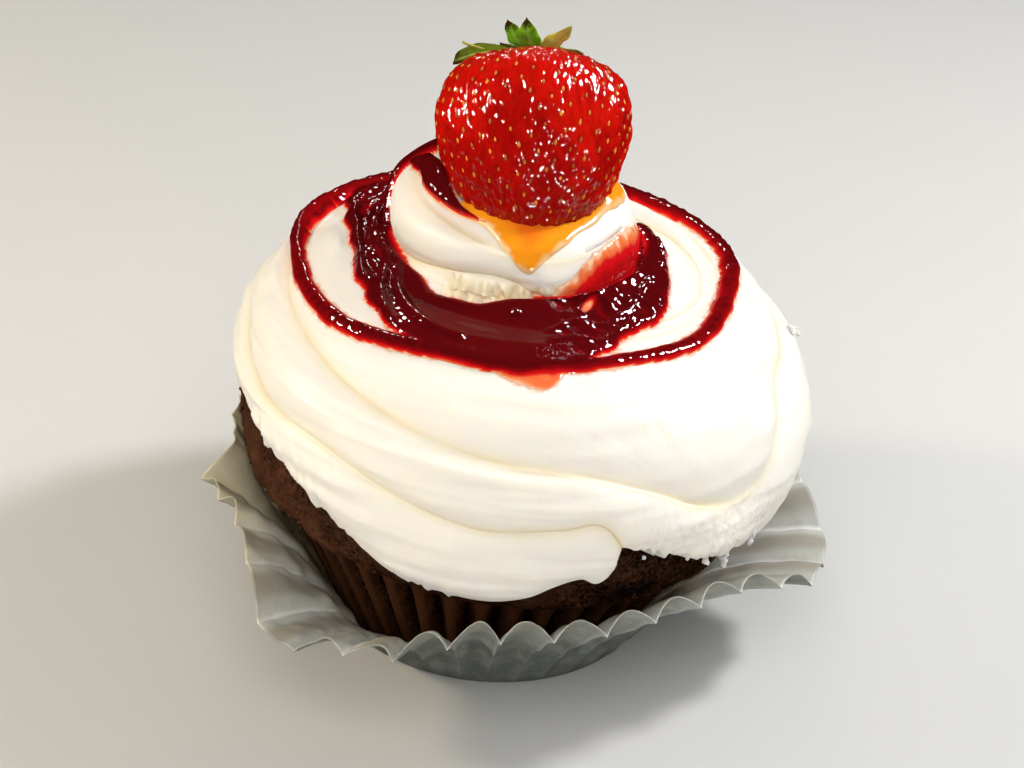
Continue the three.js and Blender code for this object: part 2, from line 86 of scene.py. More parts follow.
# sauce
FILM = 0.1                      # how far the thinnest sauce stands on the icing
FILM_STEP = 0.3                 # distance between the rows of a film's mesh
DIVE = -0.4                     # height at which a film ends, under the icing
NO_SAUCE = -9.0                 # distance inside the sauce's edge of what lies far from it
POOL_RISE = 1.0
POOL_RADIUS, SHOULDER_RADIUS, DRIP_RADIUS, BLOB_RADIUS = 24, 16, 32, 12     # where they lie

# berry, from its own frame to its place
BERRY_CENTRE = np.array([0.45, -0.4, 75.5])
BERRY_LENGTH = 27.6
BERRY_RADIUS = 13.75
BERRY_MIDDLE = 0.52             # share of its length where its centre lies
BERRY_LEAN = 36                 # how far it leans back
BERRY_SEAT = 0.985              # size of the hollow that the berry presses, against its own
BERRY_TILT = 6                  # how far it leans to the left
BERRY_TURN = np.array(Matrix.Rotation(-BERRY_TILT * DEG, 3, "Y")
                      @ Matrix.Rotation(-BERRY_LEAN * DEG, 3, "X"))
GOLDEN_ANGLE = 137.508

WAVES = 20                      # plane waves in a random field

# camera
CAMERA_PLACE = (0, -0.278, 0.202)
CAMERA_AIM = (0.001, 0, 0.0368)
CAMERA_ROLL = 6
CAMERA_LENS = 75.94


# ---------------------------------------------------------------- colours

def srgb(code):
    """Linear colour of an sRGB hex value: each channel by the sRGB curve."""
    parts = [int(code[i:i + 2], 16) / 255 for i in (1, 3, 5)]
    return tuple(c / 12.92 if c <= 0.04045 else ((c + 0.055) / 1.055) ** 2.4 for c in parts)


def paint(name, code, description):
    """A colour that a user can change."""
    return FloatVectorProperty(name=name, description=description, subtype="COLOR", size=3,
                               min=0, max=1, default=srgb(code))


def length(name, size, description):
    """A size that a user can change, in metres; the default is given in millimetres."""
    return FloatProperty(name=name, description=description, default=size * MM, min=0,
                         subtype="DISTANCE", unit="LENGTH", precision=5)


class CupcakeSizes(bpy.types.PropertyGroup):
    """Sizes of the fine detail that the solids leave out"""
    paper: length("Paper", 0.16, "Thickness of the greaseproof paper")
    crumb: length("Crumb relief", 0.24, "How rough the cake's crown is")
    icing_wave: length("Icing waves", 0.26, "How uneven the piped icing is")
    edge_teeth: length("Icing teeth", 0.6, "How far the icing's lower edge is torn")
    sauce_wrinkle: length("Sauce wrinkles", 0.16, "How high the skin of the sauce wrinkles")
    dimple: length("Dimple", 0.13, "How deep the berry dips round a seed")
    seed: length("Seed", 0.82, "Length of a strawberry seed")
    leaf: length("Leaf", 0.3, "Thickness of a leaf")
    seeds: IntProperty(name="Seeds", description="Seeds on the whole berry", default=420, min=10)
    crumbs: IntProperty(name="Crumbs", description="Loose crumbs on the cake", default=320, min=1)
    flecks: IntProperty(name="Flecks", description="Flecks of icing on its edge", default=90, min=1)


class CupcakeColours(bpy.types.PropertyGroup):
    """Colours of the finishes"""
    paper: paint("Paper", "#c3c4bd", "Greaseproof paper")
    sponge: paint("Sponge", "#442818", "Chocolate sponge")
    # painted shade: the colour of the sponge's pores and hollows
    sponge_pore_shade: paint("Sponge pores", "#110704", "Hollows of the sponge")
    icing: paint("Icing", "#f9f1e6", "Buttercream")
    # painted shade: the deeper yellow of the icing's folds
    icing_fold_shade: paint("Icing folds", "#efe2be", "Buttercream where it folds over")
    stain: paint("Stain", "#f0a27c", "Icing that the sauce bled into")
    sauce: paint("Sauce", "#56080c", "Berry sauce where it lies thick")
    sauce_thin: paint("Thin sauce", "#d4141a", "Berry sauce where the icing shows through")
    syrup: paint("Syrup", "#f8981c", "Juice under the berry")
    berry: paint("Berry", "#cc140a", "Ripe strawberry")
    berry_dark: paint("Berry, dark side", "#aa0c08", "The ripest side of the strawberry")
    seed: paint("Seeds", "#ea9222", "Strawberry seeds")
    leaf: paint("Leaves", "#84b42c", "Fresh leaf")
    leaf_dry: paint("Dry leaves", "#c4b45c", "Leaf that is drying")
    leaf_tip: paint("Leaf tips", "#3a2410", "Withered tips of the leaves")
    floor: paint("Floor", "#d0cfcb", "Pale surface that the cupcake stands on")


# ---------------------------------------------------------------- curves, noise and meshes

def curve(points):
    """A smooth curve through [place, value] points, held level beyond its ends.

    Between two points it is the cubic that has both points' slopes; a point's slope is that of
    the parabola through it and its two neighbours."""
    knots, values = np.array(points, float).T
    step = np.diff(knots)
    rise = np.diff(values) / step
    inner = (step[1:] * rise[:-1] + step[:-1] * rise[1:]) / (step[:-1] + step[1:])
    slope = np.concatenate([rise[:1], inner, rise[-1:]])

    def at(place):
        x = np.clip(place, knots[0], knots[-1])
        i = np.clip(np.searchsorted(knots, x, side="right") - 1, 0, len(knots) - 2)
        u = (x - knots[i]) / step[i]
        over = 3 * u ** 2 - 2 * u ** 3
        bend = (u ** 3 - 2 * u ** 2 + u) * slope[i] + (u ** 3 - u ** 2) * slope[i + 1]
        return mix(values[i], values[i + 1], over) + bend * step[i]
    return at


def loop(points):
    """The same round a full circle, through [azimuth, value] points."""
    whole = curve([[a + shift, v] for shift in (-TURN, 0, TURN) for a, v in points])
    return lambda azimuth: whole(np.mod(azimuth, TURN))


def ease(x):
    """0 below 0, 1 above 1, and an even S between."""
    x = np.clip(x, 0, 1)
    return x * x * (3 - 2 * x)


def mix(a, b, share):
    """The value that lies a share of the way from a to b."""
    return a + (b - a) * share


def between(x, low, rise, high, fall):
    """0 outside low and high, and 1 between them but for an S as wide as its rise and its fall."""
    return ease((x - low) / rise) * ease((high - x) / fall)


def polar(azimuth, radius, z):
    """Points from azimuths, radii and heights."""
    azimuth, radius, z = np.broadcast_arrays(azimuth * 1.0, radius, z)
    return np.stack([radius * np.cos(azimuth * DEG), radius * np.sin(azimuth * DEG), z], axis=-1)


def plane(first, second):
    """Points on a plane, from their two coordinates."""
    return np.stack(np.broadcast_arrays(first, second), axis=-1)


def waves(points, size, seed):
    """A smooth random field: the sum of seeded plane waves about `size` mm long, of unit spread."""
    draw = np.random.default_rng(seed)
    way = draw.normal(size=(np.shape(points)[-1], WAVES))
    way *= 2 * np.pi / (size * draw.uniform(0.7, 1.5, WAVES) * np.linalg.norm(way, axis=0))
    phase = draw.uniform(0, 2 * np.pi, WAVES)
    return np.sin(points @ way + phase).sum(axis=-1) * math.sqrt(2 / WAVES)


def distance(points, spots):
    """Distance from each point to the nearest of some spots."""
    nearest = np.full(points.shape[:-1], np.inf)
    for spot in spots:
        nearest = np.minimum(nearest, ((points - spot) ** 2).sum(axis=-1))
    return np.sqrt(nearest)


def unit(vectors):
    """Vectors made one long."""
    return vectors / np.maximum(np.linalg.norm(vectors, axis=-1, keepdims=True), 1e-12)


def grid_faces(ids, closed=False, flip=False):
    """Four-cornered faces of a grid of point numbers, whose rows go up and columns go round."""
    if closed:
        ids = np.concatenate([ids, ids[:, :1]], axis=1)
    corners = [ids[:-1, :-1], ids[:-1, 1:], ids[1:, 1:], ids[1:, :-1]]
    return np.stack(corners[::-1] if flip else corners, axis=-1).reshape(-1, 4)


def ring_faces(rows, columns):
    """Faces of rows of points that close into rings, of a point below the first row, and of one
    above the last; the two points are numbered after the rows."""
    ids = np.arange(rows * columns).reshape(rows, columns)
    low = np.full((1, columns), rows * columns)
    return grid_faces(np.concatenate([low, ids, low + 1]), closed=True)


def make_mesh(name, points, faces, marks=None):
    """A mesh from points in mm and faces of four corners; a face with a repeated corner is a
    triangle. Marks are named values for the materials, one for each point or one for all."""
    keep = faces != np.roll(faces, -1, axis=1)
    corners = keep.sum(axis=1)
    keep[corners < 3] = False
    corners = corners[corners > 2]
    mesh = bpy.data.meshes.new(name)
    mesh.vertices.add(len(points))
    mesh.vertices.foreach_set("co", (np.asarray(points) * MM).ravel())
    mesh.loops.add(int(corners.sum()))
    mesh.loops.foreach_set("vertex_index", faces[keep].astype(np.int32))
    mesh.polygons.add(len(corners))
    starts = np.concatenate([[0], np.cumsum(corners)[:-1]])
    mesh.polygons.foreach_set("loop_start", starts.astype(np.int32))
    mesh.update(calc_edges=True)
    mesh.validate()
    mesh.shade_smooth()
    for mark, values in (marks or {}).items():
        values = np.broadcast_to(np.ravel(values), len(points))
        layer = mesh.attributes.new(mark, "FLOAT", "POINT")
        layer.data.foreach_set("value", values.astype(np.float32))
    return mesh


def grains_mesh(name, grains, rows, columns, marks=None):
    """A mesh of many like grains, each of rings closed by two points."""
    count, size = grains.shape[:2]
    faces = ring_faces(rows, columns) + np.arange(count)[:, None, None] * size
    return make_mesh(name, grains.reshape(-1, 3), faces.reshape(-1, 4), marks)


def add_piece(name, mesh, material, nodes=()):
    """A named piece of the cupcake that stands for some of the solids."""
    obj = bpy.data.objects.new(name, mesh)
    bpy.context.scene.collection.objects.link(obj)
    mesh.materials.append(material)
    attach(obj, "root")
    if nodes:
        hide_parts(*nodes)


def drop_spare(points, faces, marks):
    """Leaves out the points that no face uses."""
    used = np.unique(faces)
    new = np.full(len(points), -1)
    new[used] = np.arange(len(used))
    kept = {name: np.ravel(values)[used] for name, values in marks.items()}
    return points[used], new[faces], kept


# ---------------------------------------------------------------- materials

# settings that every node of a kind has here
USUAL = {
    "MapRange": {"interpolation_type": "SMOOTHSTEP"},
    "Math": {"operation": "MULTIPLY"},
    "Mix": {"data_type": "RGBA"},
}


def add_node(tree, kind, *inputs, output=None, **named):
    """Adds a node with its settings, and sets or links its inputs: those in a row in the order of
    its sockets, and those whose names have a capital by name. Gives the output with the name
    asked for, or the first."""
    made = tree.nodes.new("ShaderNode" + kind)
    named = {**USUAL.get(kind, {}), **named}
    for name in [name for name in named if name[0].islower()]:
        setattr(made, name, named.pop(name))
    pairs = list(zip([socket for socket in made.inputs if socket.enabled], inputs))
    pairs += [(made.inputs[name.replace("_", " ")], value) for name, value in named.items()]
    for socket, value in pairs:
        if isinstance(value, bpy.types.NodeSocket):
            tree.links.new(value, socket)
        elif socket.type == "RGBA":
            socket.default_value = (*(srgb(value) if isinstance(value, str) else value), 1)
        else:
            socket.default_value = value
    given = [socket for socket in made.outputs if socket.enabled and output in (None, socket.name)]
    return given[0] if given else None


def new_material(name, *marks):
    """An empty material, the function that adds nodes to it, its Object coordinates, and the
    marks that the mesh carries for it."""
    material = bpy.data.materials.new(name)
    material.use_nodes = True
    material.node_tree.nodes.clear()
    add = partial(add_node, material.node_tree)
    carried = [add("Attribute", attribute_name=mark, output="Fac") for mark in marks]
    return [material, add, add("TexCoord", output="Object"), *carried]


def per(size):
    """Scale of a pattern whose grains are `size` mm across."""
    return 1 / (size * MM)


def tinted(add, colour, *layers):
    """Colours laid over a first one. Each has the value that brings it in, the range over which
    that value does so, and, where they aren't 0 and 1, how much of it shows at the two ends."""
    for over, value, *across in layers:
        colour = add("Mix", add("MapRange", value, *across), colour, over)
    return colour


def finish_material(material, add, colour, roughness, relief=None, **constants):
    """The shader at the end, with its constants on its own sockets. A relief is a height, its
    depth in mm and its strength, and a coat follows it too."""
    inputs = {"Base_Color": colour, "Roughness": roughness, **constants}
    if relief:
        height, depth, strength = relief
        normal = add("Bump", Height=height, Distance=depth * MM, Strength=strength)
        inputs["Normal"] = normal
        if "Coat_Weight" in constants:
            inputs["Coat_Normal"] = normal
    add("OutputMaterial", Surface=add("BsdfPrincipled", **inputs))
    return material


# ---------------------------------------------------------------- paper case

# by azimuth: how far the wall leans out and curls over, in degrees, how deep its pleats are at
# the rim, in mm, and how many degrees a pleat takes up before they are fitted to a full turn
WALL_LEAN = loop([
    [0, 58], [8, 51], [20, 44], [50, 34], [90, 29], [150, 26.8], [186, 26.7], [193, 26.7],
    [196, 28.2], [200, 37], [204, 36], [212, 35], [220, 39], [229, 48], [234, 54.5], [245, 51],
    [254, 47], [262, 42], [270, 38], [288, 37], [307, 36], [318, 37], [328, 41], [337, 49],
    [345, 55], [352, 58],
])
WALL_CURL = loop([
    [0, 60], [30, 30], [90, -8], [150, -16], [184, -16], [192, -14], [201, 16], [210, 30],
    [234, 50], [250, 36], [270, 22], [305, 22], [330, 34], [350, 56],
])
PLEAT_DEPTH = loop([
    [0, 1.6], [30, 2.2], [90, 1.6], [150, 0.7], [188, 0.7], [194, 0.8], [200, 1.4], [225, 0.9],
    [238, 1.6], [250, 2.4], [300, 2.5], [335, 2.4], [350, 2.3],
])
PLEAT_SPREAD = loop([[0, 9], [90, 7], [180, 7.4], [215, 8], [250, 8], [285, 9.2], [318, 10]])


def pleat_folds():
    """Azimuths of the outer folds: each is a spread away from the last, and they close a turn."""
    folds = [FIRST_FOLD]
    for _ in range(PLEATS):
        folds.append(folds[-1] + float(PLEAT_SPREAD(folds[-1])))
    folds = np.array(folds)
    return FIRST_FOLD + (folds - FIRST_FOLD) * TURN / (folds[-1] - FIRST_FOLD)


def wall_point(azimuth, share, folded, offset):
    """A point of the wall at a share of its slant: an arc of even curvature whose chord leans by
    half of the turning so far, moved off it by the pleat and by an offset along the normal."""
    curl = WALL_CURL(azimuth) * DEG
    foot = WALL_LEAN(azimuth) * DEG - curl / 2
    bow = curl * share / 2
    chord = WALL_SLANT * share * (1 - bow ** 2 / 6)
    here = foot + 2 * bow
    proud = PLEAT_DEPTH(azimuth) * mix(FOOT_PLEAT, 1, share ** 1.2) * folded + offset
    radius = BASE_RADIUS + chord * np.sin(foot + bow) + proud * np.cos(here)
    z = CASE_CENTRE_LINE + chord * np.cos(foot + bow) - proud * np.sin(here)
    return polar(azimuth, radius, z)


def paper_sheet(thickness):
    """The case as one sheet: a flat disc, then the wall in rows up its slant. Each pleat is an
    arc, 1 - sin of its share of the way, between two sharp folds; soft dents and slanting
    creases come from waves that grow towards the rim."""
    folds = pleat_folds()
    part = np.arange(PLEAT_POINTS) / PLEAT_POINTS
    azimuth = mix(folds[:-1, None], folds[1:, None], part).ravel()
    folded = np.tile(1 - np.sin(np.pi * part) ** 0.8, PLEATS)
    share = np.concatenate([[0.0], np.linspace(0.012, 0.97, 40), [0.985, 1]])[:, None]
    folded = folded * ease(share / 0.05)
    middle = wall_point(azimuth, share, folded, 0.0)
    handled = 0.35 + 0.65 * ease((np.cos((azimuth - OPENED) * DEG) - 0.3) / 0.5)
    dents = 0.24 * waves(middle, 9, 11) + 0.12 * waves(middle, 3.4, 12)
    creases = 0.2 * (1 - np.abs(waves(middle * [1, 1, 0.6], 11, 13))).clip(0, 1) ** 3
    dents = (dents + creases) * handled * ease(share / 0.4)
    half = thickness / 2
    sink = CASE_CENTRE_LINE - half
    inner = wall_point(azimuth, share, folded, dents - half) - [0, 0, sink]
    outer = wall_point(azimuth, share, folded, dents + half) - [0, 0, sink]
    disc = np.array([4, 12, 20, 24, BASE_RADIUS - 0.15])[:, None]
    inner_disc = polar(azimuth, disc, thickness + 0 * azimuth)
    outer_disc = polar(azimuth, disc, 0 * azimuth)
    return azimuth, folded, share, inner_disc, inner, outer_disc, outer


def paper_mesh(thickness):
    """Both faces of the sheet, joined at the rim: up the outside from the middle, over the rim,
    and down the inside to the middle. The marks say how far out a fold lies, where the cake
    greased the inside and where painted shade darkens the pleats' valleys inside, and which face
    is the outside."""
    azimuth, folded, share, inner_disc, inner, outer_disc, outer = paper_sheet(thickness)
    outer[..., 2] = np.maximum(outer[..., 2], 0)
    inner[..., 2] = np.maximum(inner[..., 2], thickness)
    rows = np.concatenate([outer_disc, outer, inner[::-1], inner_disc[::-1]])
    flat = np.zeros(inner_disc.shape[:2])
    fold = np.concatenate([flat, folded, folded[::-1], flat])
    near = 1 - ease((share - 0.2) / 0.45) + 0 * azimuth
    # painted shade in the pleats' valleys, carried in the same mark as the grease
    near = np.maximum(near, 0.6 * (1 - folded) ** 2 * (1 - 0.5 * share))
    grease_and_shade = np.concatenate([flat, 0 * near, near[::-1], flat + 1])
    outside = np.concatenate([flat + 1, 0 * near + 1, 0 * near, flat])
    points = np.concatenate([rows.reshape(-1, 3), [[0, 0, 0], [0, 0, thickness]]])
    marks = {"fold": np.append(fold.ravel(), [0, 0]), "grease_and_shade": np.append(grease_and_shade.ravel(), [0, 1]),
             "outside": np.append(outside.ravel(), [1, 0])}
    return make_mesh("paper_case", points, ring_faces(*rows.shape[:2]), marks)


def greaseproof_paper(colours):
    """Thin bleached greaseproof paper: a grey-white sheet, cloudy from its fibres, with a slight
    wax sheen, paler on the folds' crests, from broken fibres and a painted highlight, with
    painted warm light at the left, painted shade in the pleats' valleys, browned inside where the
    cake lay against it, and painted shade outside, darker towards the foot. The fibres are
    drawn 0.45 mm apart, coarser than real ones, so that they show."""
    material, add, place, fold, outside, grease_and_shade = new_material(
        "greaseproof_paper", "fold", "outside", "grease_and_shade")
    cloud = add("TexNoise", place, per(3.2), 4, 0.65)
    fibre = add("TexNoise", place, per(0.45), 2, 0.7)
    left, up = (add("SeparateXYZ", place, output=axis) for axis in "XZ")
    # painted shade in the pleats' valleys, stronger on the outside
    painted_valley_shade = add("MapRange", outside, 0, 1, 0.6, 0.3)
    painted_valley_shade = add("Math", painted_valley_shade, add("MapRange", fold, 0, 0.4, 1, 0))
    # painted shade on the outside of the case, grey-green, darker towards the foot
    painted_outside_shade = add("Math", outside, add("MapRange", cloud, 0.3, 0.7, 0.95, 0.75))
    painted_outside_shade = add("Math", painted_outside_shade, add("MapRange", up, 10 * MM, 25 * MM, 1, 0.45))
    # browned inside where the cake lay against it, and painted shade along the pleats' valleys
    browned_and_shaded = add("Math", grease_and_shade, add("MapRange", cloud, 0.35, 0.6, 0.15, 0.75))
    colour = tinted(
        add, tuple(c * 0.8 for c in colours.paper),
        # the folds' crests are paler, from broken fibres and a painted highlight
        (colours.paper, cloud, 0.3, 0.7), ("#ecece8", fold, 0.7, 1, 0, 0.6),
        # painted warm light on the left of the case
        ("#e2d2a6", left, -26 * MM, -40 * MM, 0, 0.7))
    colour = add("Mix", painted_outside_shade, add("Mix", painted_valley_shade, colour, "#8f8675"), "#5a605c")
    colour = tinted(add, colour, ("#d8d7ce", fibre, 0.55, 0.8, 0, 0.2))
    height = add("Math", add("Math", cloud, 0.6), add("Math", fibre, 0.3), operation="ADD")
    colour = add("Mix", browned_and_shaded, colour, "#7c6850")
    return finish_material(material, add, colour, add("MapRange", cloud, 0.2, 0.8, 0.5, 0.68),
                           (height, 0.12, 0.5), IOR=1.5, Specular_IOR_Level=0.08,
                           Subsurface_Weight=0.25, Subsurface_Radius=(1, 1, 0.9),
                           Subsurface_Scale=0.6 * MM)


# ---------------------------------------------------------------- cake

# radius and height up the crown's profile, from its lip to its top
CROWN = [[36, 22.6], [38.3, 25.2], [39.1, 30], [39, 35], [37.4, 38.4], [33.5, 41], [26, 43],
         [14, 44.4], [0, CAKE_TOP]]
crown_radius = curve([[i / 8, r] for i, (r, z) in enumerate(CROWN)])
crown_height = curve([[i / 8, z] for i, (r, z) in enumerate(CROWN)])
share_at_height = curve([[z, i / 8] for i, (r, z) in enumerate(CROWN)])


def crown_tilt(azimuth, share):
    """How much lower the crown is than at its mean: it rose more at the left."""
    return LIP_TILT * np.cos((azimuth + 5) * DEG) * (1 - share)


def crown_point(azimuth, share, offset=0.0):
    """A point of the crown at a share of the way from its lip to its top, moved off it along the
    normal of its profile."""
    step = 0.01
    out = crown_radius(share + step) - crown_radius(share - step)
    up = crown_height(share + step) - crown_height(share - step)
    run = np.hypot(out, up)
    radius = np.maximum(crown_radius(share) + offset * up / run, 0)
    z = crown_height(share) - crown_tilt(azimuth, share) - offset * out / run
    return polar(azimuth, radius, z)


def crown_share_at(azimuth, z):
    """The share of the crown that stands at a height."""
    return share_at_height(z + crown_tilt(azimuth, share_at_height(z)))


def crumb_relief(points):
    """Crumb: rounded lumps about 2 mm and 0.8 mm across, with sharp pits between them, from the
    size of two random fields."""
    coarse = np.abs(waves(points, 4.2, 21))
    fine = np.abs(waves(points, 1.7, 22))
    return np.minimum(coarse, 1.2) * 0.5 + np.minimum(fine, 1.2) * 0.5 - 0.5


def cake_mesh(relief):
    """Rows up the fluted side and then over the crown. The side's radius grows evenly with the
    height, less the flute's depth times a power of a raised cosine of the azimuth; the crown is
    the curve above, with its crumb on it. The mark for the material is painted shade: 1 in a
    pore or the bottom of a groove, darker still near BARE, and below 0 a painted highlight on the
    flutes' ridges."""
    columns = FLUTES * 14
    azimuth = np.arange(columns) * TURN / columns
    top = crown_point(azimuth, 0.0)[..., 2] - 0.4
    share = np.linspace(0, 0.97, 30)[:, None]
    groove = ((1 - np.cos(FLUTES * azimuth * DEG)) / 2) ** 1.4
    deep = curve([[0, 0.5], [0.5, 1], [0.85, 0.85], [0.97, 0.3]])(share)
    radius = mix(CAKE_BASE_RADIUS, CAKE_SIDE_TOP, share) - groove * deep * FLUTE_DEPTH
    side = polar(azimuth, radius, mix(CAKE_FLOOR, top, share))
    side += polar(azimuth, relief * 0.2 * crumb_relief(side), 0)
    rows = np.concatenate([np.linspace(0, 0.5, 44), [0.55, 0.62, 0.7, 0.8, 0.9, 0.97]])[:, None]
    plain = crown_point(azimuth, rows, 0.0)
    lumps = relief * crumb_relief(plain) * 1.6 + 0.2 * waves(plain, 8, 23)
    crown = crown_point(azimuth, rows, lumps * ease(rows / 0.04) * ease((0.7 - rows) / 0.15))
    points = np.concatenate([side, crown]).reshape(-1, 3)
    points = np.concatenate([points, [[0, 0, CAKE_FLOOR], [0, 0, CAKE_TOP]]])
    # the crown is coloured darker near the bare lip at BARE
    dark_bare_lip = 0.5 * ease((np.cos((azimuth - BARE) * DEG) - 0.93) / 0.05) * ease((rows - 0.03) / 0.1)
    # painted shade in the flutes' grooves and the crown's hollows, and below 0 a painted highlight
    # on the flutes' ridges
    painted_relief_shade = np.concatenate([1.2 * groove * deep - 0.35, np.clip(0.3 - 0.6 * lumps + dark_bare_lip, 0, 1)])
    faces = ring_faces(len(side) + len(crown), columns)
    return make_mesh("cake", points, faces, {"painted_relief_shade": np.append(painted_relief_shade.ravel(), [1, 0])})


def crumbs_mesh(name, centre, low_size, high_size, seed, marks):
    """Loose crumbs: small lumpy grains, each a ball of four rings of seven points, squeezed along
    its axes and roughened at random."""
    draw = np.random.default_rng(seed)
    count = len(centre)
    columns, rows = 7, 4
    turn = np.arange(columns) * TURN / columns
    tilt = np.linspace(-90, 90, rows + 2)[1:-1, None]
    ball = polar(turn, np.cos(tilt * DEG), np.sin(tilt * DEG)).reshape(-1, 3)
    ball = np.concatenate([ball, [[0, 0, -1], [0, 0, 1]]])
    size = draw.uniform(low_size, high_size, (count, 1, 1)) * draw.uniform(0.7, 1.2, (count, 1, 3))
    lumpy = 1 + draw.uniform(-0.28, 0.28, (count, len(ball), 1))
    return grains_mesh(name, ball * size * lumpy + centre[:, None], rows, columns, marks)


def sponge_crumbs(count):
    """Crumbs of sponge that cling to the crown under the icing."""
    draw = np.random.default_rng(31)
    azimuth = draw.uniform(0, TURN, count)
    centre = crown_point(azimuth, draw.uniform(0.02, 0.42, count), draw.uniform(0, 0.2, count))
    return crumbs_mesh("crumbs", centre, 0.15, 0.42, 32, {"painted_relief_shade": 0.25})


ICING_TAGS = [
    # azimuth, shares of the mound that it runs between, how far it stands out, how loose it is
    (327, 0.12, 0.04, 0.5, 0.15), (8, 0.375, 0.35, 1.7, 0.32), (318, 0.08, 0.03, 0.5, 0.15),
]


def icing_crumbs(count):
    """Flecks of icing along its scraped lower edge at the front right, and three tags, each of a
    few that hang together."""
    draw = np.random.default_rng(33)
    piped = TURN - draw.uniform(5, 36, count)
    share = rope_foot(piped) + draw.normal(0.03, 0.02, count)
    edge = mound_point(PIPING_START - piped, share) + draw.normal(0.0, 0.22, (count, 3))
    tags = []
    each = 24
    for azimuth, high, low, proud, loose in ICING_TAGS:
        tag = mound_point(np.full(each, float(azimuth)), np.linspace(high, low, each))
        away = np.linspace(0.1, proud, each)[:, None]
        tags.append(tag + mound_normal(azimuth, high) * away + draw.normal(0, loose, (each, 3)))
    return crumbs_mesh("icing_flecks", np.concatenate([edge, *tags]), 0.2, 0.62, 34,
                       {"fold": 0, "sauce_edge": NO_SAUCE, "torn": 0.6})


def chocolate_sponge(colours):
    """Dark chocolate sponge, baked and torn: matte red-brown, with a dry open crumb. Painted shade
    makes its pores, its hollows and the flutes' grooves nearly black; a painted highlight lightens
    the flutes' ridges, and dust and a painted highlight lighten the crumb's raised grains."""
    material, add, place, painted_relief_shade = new_material("chocolate_sponge", "painted_relief_shade")
    crumb = add("TexNoise", place, per(0.55), 4, 0.65)
    cell = add("TexVoronoi", place, per(0.7))
    hue = add("TexNoise", place, per(5), 2)
    # painted shade: the pores, the crown's hollows and the flutes' grooves darken to near black
    painted_pore_shade = add("Math", painted_relief_shade, add("MapRange", crumb, 0.35, 0.6, 0.3, -0.25), operation="ADD")
    colour = tinted(add, colours.sponge, ("#583622", hue, 0.35, 0.65),
                    # painted highlight: the flutes' ridges are lighter
                    (colours.sponge_pore_shade, painted_pore_shade, 0, 1), ("#623c24", painted_relief_shade, 0, -0.3),
                    # the crumb's raised grains are lighter, from dust and a painted highlight
                    ("#6e4630", crumb, 0.6, 0.75, 0, 0.5))
    height = add("Math", crumb, add("Math", cell, -0.5), operation="ADD")
    return finish_material(material, add, colour, add("MapRange", crumb, 0.3, 0.7, 0.95, 0.8),
                           (height, 0.3, 0.8), IOR=1.45, Specular_IOR_Level=0.02)


# ---------------------------------------------------------------- icing

# share, radius and height up the profile of the mound, and how far its axis lies to the right
MOUND = [[-0.1, 39.8, 22.5], [0, 40.9, 26.5], [0.12, 41.5, 32.5], [0.25, 41.6, 41], [0.4, 38.2, 49],
         [0.48, 34.6, 52.8], [0.55, 31, 55.3], [0.62, 26, 57], [0.68, 20.5, 58], [0.72, 17.2, 59.6],
         [0.78, 16.4, 62.5], [0.86, 15.9, 67.5], [0.94, 10.8, 71.5], [1, 0, 72]]
mound_radius = curve([[share, radius] for share, radius, z in MOUND])
mound_height = curve([[share, z] for share, radius, z in MOUND])
mound_shift = curve([[0, 2], [0.3, 1.9], [0.4, 1.3], [0.48, 0.7], [0.6, 0], [0.7, -0.8],
                     [0.85, -1], [1, -0.6]])

# the crease above each turn of the rope, as a share of the mound, by degrees piped so far
crease = curve([
    [0, 0.18], [3, 0.225], [12, 0.23], [26, 0.218], [38, 0.238], [48, 0.265], [60, 0.295],
    [76, 0.3], [90, 0.33], [102, 0.365], [180, 0.41], [250, 0.42], [300, 0.41], [312, 0.388],
    [320, 0.297], [326, 0.235], [331, 0.217], [344, 0.242], [355, 0.305], [365, 0.345],
    [385, 0.378], [402, 0.41], [414, 0.435], [440, 0.485], [460, 0.508], [540, 0.55], [620, 0.57],
    [680, 0.61], [720, 0.65], [780, 0.68], [900, 0.69], [1080, 0.72],
    [1092, 0.77], [1104, 0.795], [1130, 0.785], [1157, 0.76], [1180, 0.75], [1222, 0.765],
    [1282, 0.8], [1372, 0.855], [1400, 0.86], [1440, 0.84], [1500, 0.88], [1600, 0.9], [1700, 0.88],
    [1800, 0.84],
])
# the first turn's lower edge, in the same measures
free_edge = curve([
    [0, 0.18], [1.2, 0.12], [3, 0.085], [7, 0.1], [12, 0.075], [16, 0.04], [21, 0.015], [33, 0.015],
    [43, 0.04], [50, 0.09], [61, 0.155], [72, 0.195], [85, 0.235], [100, 0.24], [140, 0.2],
    [200, 0.12], [250, 0.05], [285, 0], [305, 0.01], [325, 0.05], [340, 0.085], [350, 0.14],
    [360, 0.18],
])


def rope_foot(piped):
    """Where a turn of the rope starts: on the free edge, and then on the turn below."""
    return np.where(piped < TURN, free_edge(piped), crease(piped - TURN))


def mound_point(azimuth, share):
    """The mound that the rope is piped over: its profile turned round an axis that leans."""
    point = polar(azimuth, mound_radius(share), mound_height(share))
    point[..., 0] += mound_shift(share)
    return point


def mound_normal(azimuth, share):
    """The mound's outward normal, from its directions of travel."""
    place = np.minimum(share, 0.99)
    along = mound_point(azimuth + 1, place) - mound_point(azimuth - 1, place)
    up = mound_point(azimuth, place + 0.004) - mound_point(azimuth, place - 0.004)
    return unit(np.cross(along, up))


def off_mound(azimuth, share, lift):
    """A point that stands off the mound, in mm along its normal."""
    return mound_point(azimuth, share) + mound_normal(azimuth, share) * lift[..., None]


def berry_press(azimuth, share):
    """How far the berry's weight pressed the front of the dollop down."""
    front = ease((np.cos((azimuth - 272) * DEG) - 0.3) / 0.5)
    return 1.9 * front * ease((share - 0.85) / 0.07)


